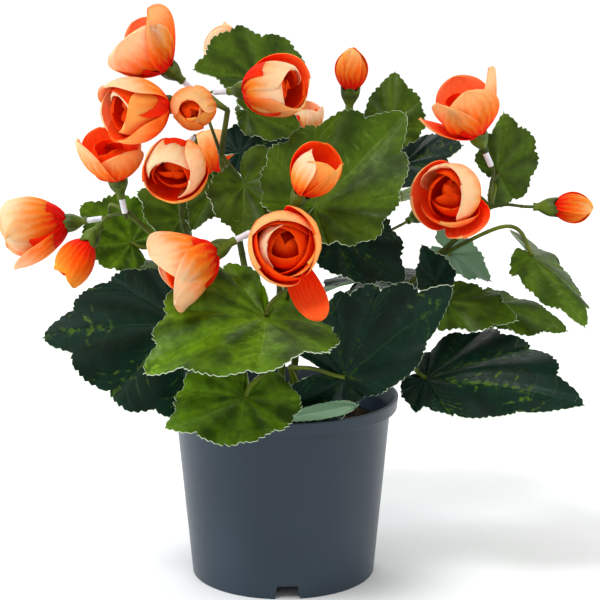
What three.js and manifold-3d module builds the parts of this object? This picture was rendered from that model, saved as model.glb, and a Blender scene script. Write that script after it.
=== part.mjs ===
// Potted begonia of fabric and plastic: a nursery pot with its fill, nine leafy stalks,
// fabric leaves and fabric blooms. Millimetres, +Z up. The origin lies on the pot's axis, on
// the surface that the pot stands on, and -Y is the front.
import * as THREE from "three";
import { mergeVertices } from "three/addons/utils/BufferGeometryUtils.js";
import Module from "manifold-3d";

const wasm = await Module();
wasm.setup();

// ---------------------------------------------------------------- driving dimensions
const POT_HEIGHT = 95;
const POT_RIM_RADIUS = 60;
const POT_RIM_BAND = 7;
const POT_LEDGE_RADIUS = 55.8;
const POT_FOOT_RADIUS = 47.7;
const POT_WALL = 1.4;
const POT_FOOT_LIFT = 6.5;
const RIM_FLARE = 0.8;
const RIM_EDGE = 0.5;
const POT_SIDES = 36;
const NOTCH_HEIGHT = 7.1;
const NOTCH_TOP_WIDTH = 10.4;
const NOTCH_FOOT_WIDTH = 13.5;
const NOTCH_COUNT = 3;
const NOTCH_FIRST_ANGLE = THREE.MathUtils.degToRad(-87);
const DRAIN_COUNT = 4;
const DRAIN_SIDES = 6;
const DRAIN_RADIUS = 3.5;
const DRAIN_CIRCLE = 30;

const FILL_TOP = 78;
const FILL_SIDES = 20;
const FILL_CROWN = 4;
const FILL_CROWN_RADIUS = 25;
const FILL_SHOULDER = 0.8;
const STALK_HOLE_DEPTH = 30;
const SEAT_GAP = 0.3;

const BLADE_THICKNESS = 0.7;
const PETAL_THICKNESS = 0.7;
const STALK_RADIUS = 2.0;
const STALK_SIDES = 6;
const PETIOLE_RADIUS = 1.0;
const PEDICEL_RADIUS = 0.8;
const PETIOLE_SIDES = 4;
const PEDICEL_SIDES = 5;
const SLEEVE_RADIUS = 1.5;
const SLEEVE_LENGTH = 8;
const CALYX_LENGTH = 9;
const CALYX_RADIUS = 3.8;
const CALYX_WAIST = 0.4;
const CALYX_WAIST_RADIUS = 0.75;
const SLEEVE_OVERLAP = 0.5;
const PEDICEL_RUN_IN = 3;

// ---------------------------------------------------------------- colours
const POT_GREY = 0x3c444e;
const FILL_BROWN = 0x2b2119;
const STEM_OLIVE = 0x5a6928;
const LEAF_BRIGHT = 0x5f9626;
const LEAF_MID = 0x3c6b2c;
const LEAF_DARK = 0x1e3a3a;
const PETAL_ORANGE = 0xff6a1e;

/** A named sub-part of one material. */
function part(name, geometry, color, roughness) {
  const material = new THREE.MeshStandardMaterial({ color, roughness, metalness: 0 });
  const mesh = new THREE.Mesh(geometry, material);
  mesh.name = name;
  return mesh;
}

/** Keeps only positions and merges the vertices that faces share. */
function welded(geometry) {
  const bare = geometry.clone();
  for (const key of Object.keys(bare.attributes)) {
    if (key !== "position") {
      bare.deleteAttribute(key);
    }
  }
  return mergeVertices(bare, 1e-4);
}

function toSolid(geometry) {
  const merged = welded(geometry);
  const mesh = new wasm.Mesh({
    numProp: 3,
    vertProperties: new Float32Array(merged.attributes.position.array),
    triVerts: new Uint32Array(merged.index.array),
  });
  return new wasm.Manifold(mesh);
}

function toGeometry(solid) {
  const mesh = solid.getMesh();
  const geometry = new THREE.BufferGeometry();
  geometry.setAttribute("position", new THREE.BufferAttribute(mesh.vertProperties, 3));
  geometry.setIndex(new THREE.BufferAttribute(mesh.triVerts, 1));
  return geometry;
}

/** Joins the geometries into one closed body. */
function fused(geometries) {
  let solid = toSolid(geometries[0]);
  for (const geometry of geometries.slice(1)) {
    solid = solid.add(toSolid(geometry));
  }
  return toGeometry(solid);
}

function indexed(points, faces) {
  const geometry = new THREE.BufferGeometry();
  const places = points.flatMap((point) => point.toArray());
  geometry.setAttribute("position", new THREE.Float32BufferAttribute(places, 3));
  geometry.setIndex(faces.flat());
  return geometry;
}

/** Gives a sheet of triangles its thickness, split alike on both faces. */
function thickened(points, faces, loop, thickness) {
  const normals = points.map(() => new THREE.Vector3());
  for (const [a, b, c] of faces) {
    const ab = points[b].clone().sub(points[a]);
    const ac = points[c].clone().sub(points[a]);
    const normal = ab.cross(ac);
    for (const i of [a, b, c]) {
      normals[i].add(normal);
    }
  }
  normals.forEach((normal) => normal.normalize());
  const top = points.map((p, i) => p.clone().addScaledVector(normals[i], thickness / 2));
  const bottom = points.map((p, i) => p.clone().addScaledVector(normals[i], -thickness / 2));
  const count = points.length;
  const closed = faces.map((face) => [...face]);
  for (const [a, b, c] of faces) {
    closed.push([a + count, c + count, b + count]);
  }
  loop.forEach((a, i) => {
    const b = loop[(i + 1) % loop.length];
    closed.push([a, a + count, b]);
    closed.push([b, a + count, b + count]);
  });
  return indexed([...top, ...bottom], closed);
}

/** A closed tube through the points, with one radius for each point. */
function tube(points, radii, sides) {
  const rings = [];
  let normal = new THREE.Vector3(0.31, 0.87, 0.38);
  points.forEach((point, i) => {
    const before = points[Math.max(0, i - 1)];
    const after = points[Math.min(points.length - 1, i + 1)];
    const tangent = after.clone().sub(before).normalize();
    normal = normal.clone().addScaledVector(tangent, -normal.dot(tangent)).normalize();
    const side = tangent.clone().cross(normal);
    for (let k = 0; k < sides; k += 1) {
      const angle = (2 * Math.PI * k) / sides;
      const ring = point.clone();
      ring.addScaledVector(normal, radii[i] * Math.cos(angle));
      ring.addScaledVector(side, radii[i] * Math.sin(angle));
      rings.push(ring);
    }
  });
  const faces = [];
  for (let i = 0; i + 1 < points.length; i += 1) {
    for (let k = 0; k < sides; k += 1) {
      const a = i * sides + k;
      const b = i * sides + ((k + 1) % sides);
      faces.push([a, b, b + sides]);
      faces.push([a, b + sides, a + sides]);
    }
  }
  const last = (points.length - 1) * sides;
  for (let k = 1; k + 1 < sides; k += 1) {
    faces.push([0, k + 1, k]);
    faces.push([last, last + k, last + k + 1]);
  }
  return indexed(rings, faces);
}

/** A smooth run of points through the given ones. */
function smoothRun(points, step) {
  const curve = new THREE.CatmullRomCurve3(points, false, "centripetal");
  const count = Math.max(2, Math.round(curve.getLength() / step));
  return curve.getSpacedPoints(count);
}

function vector(list) {
  return new THREE.Vector3(...list);
}

// ---------------------------------------------------------------- leaves
// A leaf lies between base, where its petiole meets it, and tip, with its upper face turned to
// face. width and back scale its outline on the left and the right, as seen from above with
// the tip ahead, and slit is the angle from the tip, round the left, to the slit at its base.
// bend droops it along the midrib, fold lifts (or, below 0, lowers) its halves, in degrees, and
// wave is the edge's rise and fall over its length. over is set where the petiole comes in on
// the upper side, and flap is an edge of the leaf that is turned over, so that its pale side shows.
const LEAVES = [
  { name: "leaf_front_left", tone: LEAF_BRIGHT, base: [-7, -88, 154], tip: [-63, -112, 133],
    face: [-0.15, -0.62, 0.77], width: [1.0, 1.0], back: [1.15, 0.8],
    slit: 200, bend: 45, fold: -12, wave: 0.03, over: true },
  { name: "leaf_front_low", tone: LEAF_BRIGHT, base: [-17, -76, 112], tip: [-55, -92, 102],
    face: [-0.1, -0.75, 0.65], width: [1.0, 1.15], back: [1.3, 1.0],
    slit: 236, bend: 20, fold: 8, wave: 0.03, over: true },
  { name: "leaf_front_right", tone: LEAF_DARK, base: [31, -45, 115], tip: [84, -49, 162],
    face: [0.1, -0.95, 0.3], width: [1.05, 0.34], back: [0.8, 2.7],
    slit: 125, bend: 10, fold: 10, wave: 0.03, over: true,
    flap: { base: [37, -51, 102], tip: [-6, -59, 99],
      face: [0, 0.95, -0.3], width: [0.32, 0.12], back: [1.2, 1.0],
      slit: 180, bend: 0, fold: 0, wave: 0 } },
  { name: "leaf_low_left", tone: LEAF_DARK, base: [-48, -46, 142], tip: [-116, -62, 139],
    face: [-0.1, -0.75, 0.65], width: [1.25, 0.9], back: [0.6, 0.6],
    slit: 180, bend: 25, fold: -8, wave: 0.02 },
  { name: "leaf_low_right", tone: LEAF_DARK, base: [72, -30, 110], tip: [148, -58, 104],
    face: [0.1, -0.6, 0.8], width: [1.05, 0.42], back: [0.5, 0.8],
    slit: 150, bend: 25, fold: -8, wave: 0.02, over: true },
  { name: "leaf_centre", tone: LEAF_MID, base: [16, -66, 203], tip: [60, -45, 246],
    face: [0, -0.85, 0.5], width: [0.95, 0.9], back: [0.8, 0.7],
    slit: 185, bend: -15, fold: 5, wave: 0.03 },
  { name: "leaf_top", tone: LEAF_MID, base: [-12, 5, 256], tip: [-45, -3, 263],
    face: [0.1, -0.7, 0.7], width: [0.8, 1.5], back: [1.0, 1.3],
    slit: 180, bend: 20, fold: 10, wave: 0.03 },
  { name: "leaf_mid_left", tone: LEAF_MID, base: [-18, -55, 212], tip: [-19, -70, 187],
    face: [0.1, -0.9, 0.4], width: [1.3, 1.2], back: [1.3, 0.7],
    slit: 200, bend: 20, fold: 15, wave: 0.03 },
  { name: "leaf_top_right", tone: LEAF_MID, base: [54, 0, 233], tip: [57, 12, 261],
    face: [-0.2, -0.8, 0.5], width: [1.0, 1.1], back: [0.8, 0.8],
    slit: 180, bend: 10, fold: -20, wave: 0.03 },
  { name: "leaf_behind_right", tone: LEAF_DARK, base: [62, 5, 214], tip: [92, 0, 225],
    face: [0, -0.6, 0.8], width: [0.9, 1.0], back: [0.8, 0.8],
    slit: 180, bend: 20, fold: 0, wave: 0.03 },
  { name: "leaf_right_upper", tone: LEAF_MID, base: [109, 0, 211], tip: [111, -5, 242],
    face: [0.2, -0.8, 0.5], width: [0.8, 1.25], back: [0.5, 1.1],
    slit: 150, bend: 10, fold: -10, wave: 0.02, over: true },
  { name: "leaf_right_drooping", tone: LEAF_MID, base: [122, -40, 174], tip: [147, -61, 143],
    face: [0.5, -0.6, 0.6], width: [1.2, 0.6], back: [1.3, 0.7],
    slit: 166, bend: 20, fold: -25, wave: 0.02, over: true },
  { name: "leaf_right_inner", tone: LEAF_MID, base: [87, 5, 168], tip: [107, -5, 155],
    face: [0.3, 0.8, 0.5], width: [0.9, 0.9], back: [1.3, 1.3],
    slit: 180, bend: 10, fold: 10, wave: 0.02 },
  { name: "leaf_right_lower", tone: LEAF_MID, base: [82, -20, 147], tip: [118, -30, 140],
    face: [0, -0.6, 0.8], width: [0.9, 0.8], back: [0.6, 0.7],
    slit: 180, bend: 25, fold: -10, wave: 0.03 },
  { name: "leaf_right_pointed", tone: LEAF_MID, base: [106, -4, 143], tip: [148, 0, 128],
    face: [0, -0.5, 0.85], width: [0.7, 0.6], back: [0.7, 0.7],
    slit: 180, bend: 15, fold: -15, wave: 0.02 },
  { name: "leaf_stalk_small", tone: LEAF_DARK, base: [77, -25, 158], tip: [69, -30, 179],
    face: [0, -0.95, 0.2], width: [0.8, 0.9], back: [0.6, 0.6],
    slit: 180, bend: 10, fold: 15, wave: 0.02 },
  { name: "leaf_left_outer", tone: LEAF_BRIGHT, base: [-80, 26, 170], tip: [-107, 28, 190],
    face: [0, -0.85, 0.5], width: [1.1, 1.2], back: [0.8, 0.8],
    slit: 185, bend: 10, fold: 10, wave: 0.03, over: true },
  { name: "leaf_left_inner", tone: LEAF_MID, base: [-52, 2, 187], tip: [-75, 4, 201],
    face: [0, -0.8, 0.6], width: [1.0, 1.0], back: [0.8, 0.8],
    slit: 180, bend: 15, fold: 5, wave: 0.03 },
  { name: "leaf_mid_left_pale", tone: LEAF_MID, base: [-33, -14, 205], tip: [-46, -20, 183],
    face: [-0.2, -0.8, 0.5], width: [0.75, 0.8], back: [0.8, 0.8],
    slit: 180, bend: 15, fold: 5, wave: 0.02 },
  { name: "leaf_centre_low", tone: LEAF_DARK, base: [27, -32, 183], tip: [61, -38, 161],
    face: [0.1, -0.8, 0.6], width: [1.1, 0.9], back: [0.6, 0.7],
    slit: 180, bend: 15, fold: 5, wave: 0.03 },
  { name: "leaf_top_under", tone: LEAF_MID, base: [-17, -17, 243], tip: [11, -14, 231],
    face: [0, -0.8, 0.6], width: [1.0, 0.8], back: [0.6, 0.6],
    slit: 180, bend: 10, fold: 5, wave: 0.03 },
  { name: "leaf_behind_centre", tone: LEAF_DARK, base: [-22, 4, 220], tip: [8, 10, 229],
    face: [0, -0.7, 0.7], width: [1.0, 0.9], back: [0.8, 0.8],
    slit: 180, bend: 15, fold: 0, wave: 0.03 },
  { name: "leaf_back_left", tone: LEAF_MID, base: [-48, 45, 150], tip: [-100, 70, 150],
    face: [-0.3, 0.3, 0.9], width: [1.0, 1.0], back: [0.9, 0.9],
    slit: 180, bend: 30, fold: -8, wave: 0.03 },
  { name: "leaf_back_right", tone: LEAF_DARK, base: [45, 50, 146], tip: [92, 84, 138],
    face: [0.3, 0.3, 0.9], width: [1.0, 1.0], back: [0.9, 0.9],
    slit: 180, bend: 30, fold: -8, wave: 0.03 },
  { name: "leaf_back_low", tone: LEAF_DARK, base: [-8, 66, 126], tip: [-20, 120, 106],
    face: [-0.1, 0.5, 0.85], width: [1.0, 1.0], back: [0.9, 0.9],
    slit: 180, bend: 35, fold: -8, wave: 0.03 },
  { name: "leaf_back_upper", tone: LEAF_MID, base: [6, 56, 192], tip: [14, 102, 176],
    face: [0.1, 0.5, 0.85], width: [1.0, 1.0], back: [0.9, 0.9],
    slit: 180, bend: 30, fold: -8, wave: 0.03 },
  { name: "leaf_back_side", tone: LEAF_BRIGHT, base: [62, 38, 195], tip: [102, 62, 190],
    face: [0.3, 0.3, 0.9], width: [1.0, 1.0], back: [0.9, 0.9],
    slit: 180, bend: 30, fold: -8, wave: 0.03 },
];

// Outline of half a leaf as radius over leaf length, from the tip (0) to the slit (1).
const OUTLINE = [
  [0, 1], [0.07, 0.86], [0.18, 0.74], [0.34, 0.62],
  [0.52, 0.55], [0.72, 0.52], [0.9, 0.44], [1, 0.06],
];
const WIDTH_FROM = 0.34;
const BACK_FROM = [0.4, 0.75];
const TEETH_PER_HALF = [5, 7];
const TOOTH_SPACING = 10;
const TOOTH_DEPTH = 0.11;
const TOOTH_LEAN = 0.3;
const WAVE_COUNT = 5;
// How softly a leaf folds along its midrib, over leaf length.
const FOLD_SOFTNESS = 0.06;
const LEAF_RINGS = [0.52, 1];
const PETIOLE_APPROACH = 5;
const APPROACH_LIFT = 1;

/** Radius of half the outline at place s, from 0 at the tip to 1 at the slit. */
function outlineRadius(s, width, back) {
  let k = 0;
  while (k + 2 < OUTLINE.length && OUTLINE[k + 1][0] < s) {
    k += 1;
  }
  const [s0, r0] = OUTLINE[k];
  const [s1, r1] = OUTLINE[k + 1];
  const radius = r0 + ((r1 - r0) * (s - s0)) / (s1 - s0);
  const widen = Math.min(1, s / WIDTH_FROM);
  const lengthen = THREE.MathUtils.smoothstep(s, ...BACK_FROM);
  return radius * width ** widen * back ** lengthen;
}

/** Edge of a leaf as [angle, radius] pairs, tooth tips and notches in turn. */
function leafEdge(leaf) {
  const edge = [];
  const slit = THREE.MathUtils.degToRad(leaf.slit);
  const spans = [slit, slit - 2 * Math.PI];
  const length = vector(leaf.tip).distanceTo(vector(leaf.base));
  const teeth = THREE.MathUtils.clamp(Math.round(length / TOOTH_SPACING) + 2, ...TEETH_PER_HALF);
  spans.forEach((span, half) => {
    const run = [];
    for (let k = 0; k <= teeth; k += 1) {
      const notch = Math.max(0, (k - 0.5 + TOOTH_LEAN) / teeth);
      const tip = k / teeth;
      if (k > 0) {
        const radius = outlineRadius(notch, leaf.width[half], leaf.back[half]);
        run.push([span * notch, radius * (1 - TOOTH_DEPTH)]);
      }
      if (k < teeth) {
        const radius = outlineRadius(tip, leaf.width[half], leaf.back[half]);
        run.push([span * tip, radius]);
      }
    }
    if (half === 0) {
      edge.push(...run);
      edge.push([slit, outlineRadius(1, leaf.width[0], leaf.back[0])]);
    } else {
      edge.push(...run.slice(1).reverse());
    }
  });
  return edge;
}

/** Point of a leaf of length 1, in its own frame: +X to the tip, +Y to its left, +Z up. */
function leafPoint(leaf, angle, radius, t) {
  const across = radius * t * Math.sin(angle);
  const along = radius * t * Math.cos(angle);
  const fold = THREE.MathUtils.degToRad(leaf.fold);
  const rise = Math.hypot(across, FOLD_SOFTNESS) - FOLD_SOFTNESS;
  const lift = rise * Math.sin(fold) + leaf.wave * t * t * Math.sin(WAVE_COUNT * angle);
  const bend = THREE.MathUtils.degToRad(leaf.bend);
  const turn = bend * along;
  const reach = Math.abs(bend) > 1e-6 ? Math.sin(turn) / bend : along;
  const drop = Math.abs(bend) > 1e-6 ? (1 - Math.cos(turn)) / bend : 0;
  const x = reach + lift * Math.sin(turn);
  const z = lift * Math.cos(turn) - drop;
  return new THREE.Vector3(x, across * Math.cos(fold), z);
}

/** Matrix that carries the leaf of length 1 to its place between base and tip. */
function leafPlace(leaf) {
  const base = vector(leaf.base);
  const chord = vector(leaf.tip).sub(base);
  const localTip = leafPoint(leaf, 0, 1, 1);
  const scale = chord.length() / localTip.length();
  const ahead = chord.normalize();
  const up = vector(leaf.face);
  up.addScaledVector(ahead, -up.dot(ahead)).normalize();
  const left = up.clone().cross(ahead);
  const frame = new THREE.Matrix4().makeBasis(ahead, left, up);
  const pitch = new THREE.Matrix4().makeRotationY(Math.atan2(localTip.z, localTip.x));
  const place = frame.multiply(pitch).scale(new THREE.Vector3(scale, scale, scale));
  return place.setPosition(base);
}

function bladeGeometry(leaf) {
  const edge = leafEdge(leaf);
  const place = leafPlace(leaf);
  const points = [new THREE.Vector3()];
  for (const t of LEAF_RINGS) {
    for (const [angle, radius] of edge) {
      points.push(leafPoint(leaf, angle, radius, t));
    }
  }
  const count = edge.length;
  const faces = [];
  for (let k = 0; k < count; k += 1) {
    const next = (k + 1) % count;
    faces.push([0, 1 + k, 1 + next]);
    for (let ring = 1; ring < LEAF_RINGS.length; ring += 1) {
      const a = 1 + (ring - 1) * count + k;
      const b = 1 + (ring - 1) * count + next;
      faces.push([a, a + count, b + count]);
      faces.push([a, b + count, b]);
    }
  }
  const outer = 1 + (LEAF_RINGS.length - 1) * count;
  const loop = Array.from({ length: count }, (_, k) => outer + k);
  const placed = points.map((point) => point.applyMatrix4(place));
  return thickened(placed, faces, loop, BLADE_THICKNESS);
}

function leafGeometry(leaf) {
  const blade = bladeGeometry(leaf);
  return leaf.flap ? fused([blade, bladeGeometry(leaf.flap)]) : blade;
}

/** Where a petiole meets its leaf: it comes in along the slit, just clear of the blade. */
function petioleSeat(leaf) {
  const place = leafPlace(leaf);
  const slit = THREE.MathUtils.degToRad(leaf.slit);
  const origin = new THREE.Vector3().applyMatrix4(place);
  const away = new THREE.Vector3(0, 0, leaf.over ? 1 : -1).transformDirection(place);
  const out = new THREE.Vector3(Math.cos(slit), Math.sin(slit), 0).transformDirection(place);
  const reach = BLADE_THICKNESS / 2 + SEAT_GAP + PETIOLE_RADIUS;
  const end = origin.clone().addScaledVector(away, reach);
  const near = end.clone().addScaledVector(away, APPROACH_LIFT).addScaledVector(out, PETIOLE_APPROACH);
  return { origin, away, near, end };
}

// ---------------------------------------------------------------- blooms
// A bloom sits at base, on its calyx, and opens along axis. size is its petals' length, open
// its opening from 0, a closed bud, to 1, and twist turns its petals about the axis, in degrees.
const BLOOMS = [
  { name: "bloom_top_left", base: [-54, -35, 265], axis: [-0.7, -0.25, 0.65],
    size: 33, open: 0.68, twist: 0 },
  { name: "bloom_left_front", base: [-54, -55, 250], axis: [-0.75, -0.6, -0.05],
    size: 33, open: 0.7, twist: 20 },
  { name: "bloom_left_half", base: [-40, -50, 248], axis: [-0.1, -0.95, 0.1],
    size: 20, open: 0.3, twist: 0 },
  { name: "bloom_left_centre", base: [-46, -62, 228], axis: [-0.2, -0.9, -0.3],
    size: 30, open: 0.75, twist: 40 },
  { name: "bloom_left_cup", base: [-79, -45, 212], axis: [-0.15, -0.3, 0.93],
    size: 28, open: 0.7, twist: 10 },
  { name: "bloom_top_centre", base: [-18, -45, 256], axis: [0.85, -0.5, 0.1],
    size: 34, open: 0.6, twist: 0 },
  { name: "bloom_top_back", base: [-24, 25, 266], axis: [-0.7, 0.2, 0.7],
    size: 20, open: 0.5, twist: 0 },
  { name: "bud_top", base: [34, 0, 251], axis: [0.05, -0.1, 1], size: 22, open: 0, twist: 0 },
  { name: "bloom_centre_half", base: [9, -85, 211], axis: [0.45, -0.3, 0.8],
    size: 26, open: 0.2, twist: 0 },
  { name: "bloom_behind_centre", base: [12, 24, 226], axis: [0, -0.1, 1],
    size: 18, open: 0.4, twist: 0 },
  { name: "bloom_right_top", base: [96, -30, 232], axis: [-0.4, -0.25, 0.85],
    size: 33, open: 0.68, twist: 0 },
  { name: "bloom_right_front", base: [90, -30, 203], axis: [-0.45, -0.85, 0.15],
    size: 32, open: 0.8, twist: 15 },
  { name: "bud_right", base: [132, -35, 198], axis: [0.95, -0.15, 0], size: 20, open: 0, twist: 0 },
  { name: "bloom_far_left", base: [-109.5, 10, 183], axis: [-0.95, 0.1, -0.1],
    size: 43, open: 0.6, twist: 0 },
  { name: "bloom_far_left_half", base: [-97, -10, 178], axis: [-0.55, -0.2, -0.75],
    size: 25, open: 0.25, twist: 0 },
  { name: "bloom_front_pale", base: [-29, -85, 186], axis: [-0.85, -0.3, -0.4],
    size: 38, open: 0.55, twist: 0 },
  { name: "bloom_front_rose", base: [2, -85, 189], axis: [0, -0.95, 0.1],
    size: 33, open: 0.85, twist: 0 },
  { name: "bloom_back_left", base: [-34, 66, 196], axis: [-0.3, 0.7, 0.65],
    size: 32, open: 0.66, twist: 0 },
  { name: "bloom_back_right", base: [42, 64, 190], axis: [0.3, 0.7, 0.6],
    size: 32, open: 0.66, twist: 30 },
  { name: "bud_back", base: [74, 70, 178], axis: [0.7, 0.6, 0.3], size: 22, open: 0, twist: 0 },
];

const PETAL_ROWS = [0, 0.36, 0.76, 1];
const PETAL_HALF_WIDTH = [0.03, 0.29, 0.45, 0.26];
const PETAL_ROUNDING = 0.1;
const PETAL_COLUMNS = 3;
const WRAP_AT_ROOT = 0.4;
const PETAL_SKEW = 2.4;
const SKEW_GROWTH = 0.7;
const LEAN_STEPS = 12;
const HEART_RADIUS = 2.6;
const HEART_HEIGHT = 3.2;
const HEART_SIDES = 6;
// Lean of the outer petals in radians where they leave the axis and at their tips, their width
// and their wrap round the axis: each is [in a closed bud, change to a full opening].
const OUTER_FROM = [0.95, 0.35];
const OUTER_TO = [-0.75, 1.0];
const OUTER_WIDTH = [0.72, 0.4];
const OUTER_WRAP = [1.3, -0.5];
const OUTER_START = 0.6 * HEART_RADIUS;
const OPEN_COUNT = 4;
const CLOSED_COUNT = 3;
const OPEN_FROM = 0.5;
// The rolled inner petals show in the blooms that are open further than HEART_SHOWS.
const HEART_SHOWS = 0.69;
const INNER_COUNT = 2;
const INNER_LENGTH = 0.74;
const INNER_SHAPE = { width: 0.85, from: 0.75, to: -0.5, wrap: 1.7, start: 0.3 * HEART_RADIUS };

/** Centre line of a petal: distance from the axis, height and lean for each row. */
function petalLine({ length, from, to, start }) {
  const line = [];
  let r = start;
  let z = 0;
  let done = 0;
  for (const s of PETAL_ROWS) {
    for (; done < Math.round(s * LEAN_STEPS); done += 1) {
      const lean = from + ((to - from) * (done + 0.5)) / LEAN_STEPS;
      r += (Math.sin(lean) * length) / LEAN_STEPS;
      z += (Math.cos(lean) * length) / LEAN_STEPS;
    }
    line.push({ r, z, lean: from + (to - from) * s });
  }
  return line;
}

/**
 * One cupped petal in the bloom's frame, with the axis along +Z, at the angle turn about it.
 * It leaves the axis at the angle from and ends at the angle to, wrap curves it round the axis,
 * and one edge lies further out than the other, so that neighbours overlap without crossing.
 */
function petalGeometry(petal) {
  const { length, width, turn, wrap } = petal;
  const columns = PETAL_COLUMNS;
  const radial = new THREE.Vector3(Math.cos(turn), Math.sin(turn), 0);
  const around = new THREE.Vector3(-Math.sin(turn), Math.cos(turn), 0);
  const line = petalLine(petal);
  const points = [];
  PETAL_ROWS.forEach((s, row) => {
    const { r, z, lean } = line[row];
    const half = width * PETAL_HALF_WIDTH[row] * length;
    const curl = wrap * (WRAP_AT_ROOT + (1 - WRAP_AT_ROOT) * s);
    for (let k = 0; k < columns; k += 1) {
      const bow = curl * ((2 * k) / (columns - 1) - 1);
      const inward = ((1 - Math.cos(bow)) / curl) * half;
      const skew = PETAL_SKEW * s ** SKEW_GROWTH * (bow / curl);
      const isCorner = s === 1 && k !== (columns - 1) / 2;
      const short = isCorner ? PETAL_ROUNDING * length : 0;
      const point = new THREE.Vector3(0, 0, z + inward * Math.sin(lean) - short * Math.cos(lean));
      point.addScaledVector(radial, r + skew - inward * Math.cos(lean) - short * Math.sin(lean));
      point.addScaledVector(around, (Math.sin(bow) / curl) * half);
      points.push(point);
    }
  });
  const faces = [];
  for (let row = 0; row + 1 < PETAL_ROWS.length; row += 1) {
    for (let k = 0; k + 1 < columns; k += 1) {
      const a = row * columns + k;
      faces.push([a, a + 1, a + 1 + columns]);
      faces.push([a, a + 1 + columns, a + columns]);
    }
  }
  const last = (PETAL_ROWS.length - 1) * columns;
  const loop = Array.from({ length: columns }, (_, k) => k);
  for (let row = 1; row < PETAL_ROWS.length; row += 1) {
    loop.push(row * columns + columns - 1);
  }
  for (let k = columns - 2; k >= 0; k -= 1) {
    loop.push(last + k);
  }
  for (let row = PETAL_ROWS.length - 2; row > 0; row -= 1) {
    loop.push(row * columns);
  }
  return thickened(points, faces, loop, PETAL_THICKNESS);
}

/** The petals of a bloom, as settings for petalGeometry: outer ones, then the rolled heart. */
function petalSettings(bloom) {
  const opened = ([closed, change]) => closed + change * bloom.open;
  const twist = THREE.MathUtils.degToRad(bloom.twist);
  const outer = bloom.open > OPEN_FROM ? OPEN_COUNT : CLOSED_COUNT;
  const inner = bloom.open > HEART_SHOWS ? INNER_COUNT : 0;
  const petals = [];
  for (let k = 0; k < outer; k += 1) {
    petals.push({
      length: bloom.size,
      width: opened(OUTER_WIDTH),
      turn: twist + (2 * Math.PI * k) / outer,
      from: opened(OUTER_FROM),
      to: opened(OUTER_TO),
      wrap: opened(OUTER_WRAP),
      start: OUTER_START,
    });
  }
  for (let k = 0; k < inner; k += 1) {
    const turn = twist + Math.PI / outer + (2 * Math.PI * k) / inner;
    petals.push({ ...INNER_SHAPE, length: INNER_LENGTH * bloom.size, turn });
  }
  return petals;
}

/** Turns +Z to the axis of a bloom and moves the origin to its base, clear of the calyx. */
function bloomPlace(bloom) {
  const axis = vector(bloom.axis).normalize();
  const turn = new THREE.Quaternion().setFromUnitVectors(new THREE.Vector3(0, 0, 1), axis);
  const lift = vector(bloom.base).addScaledVector(axis, SEAT_GAP + PETAL_THICKNESS);
  return new THREE.Matrix4().compose(lift, turn, new THREE.Vector3(1, 1, 1));
}

function bloomGeometry(bloom) {
  const heart = new THREE.CylinderGeometry(HEART_RADIUS, HEART_RADIUS, HEART_HEIGHT, HEART_SIDES);
  heart.rotateX(Math.PI / 2);
  heart.translate(0, 0, HEART_HEIGHT / 2 - PETAL_THICKNESS);
  const petals = petalSettings(bloom).map(petalGeometry);
  return fused([heart, ...petals]).applyMatrix4(bloomPlace(bloom));
}

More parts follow.
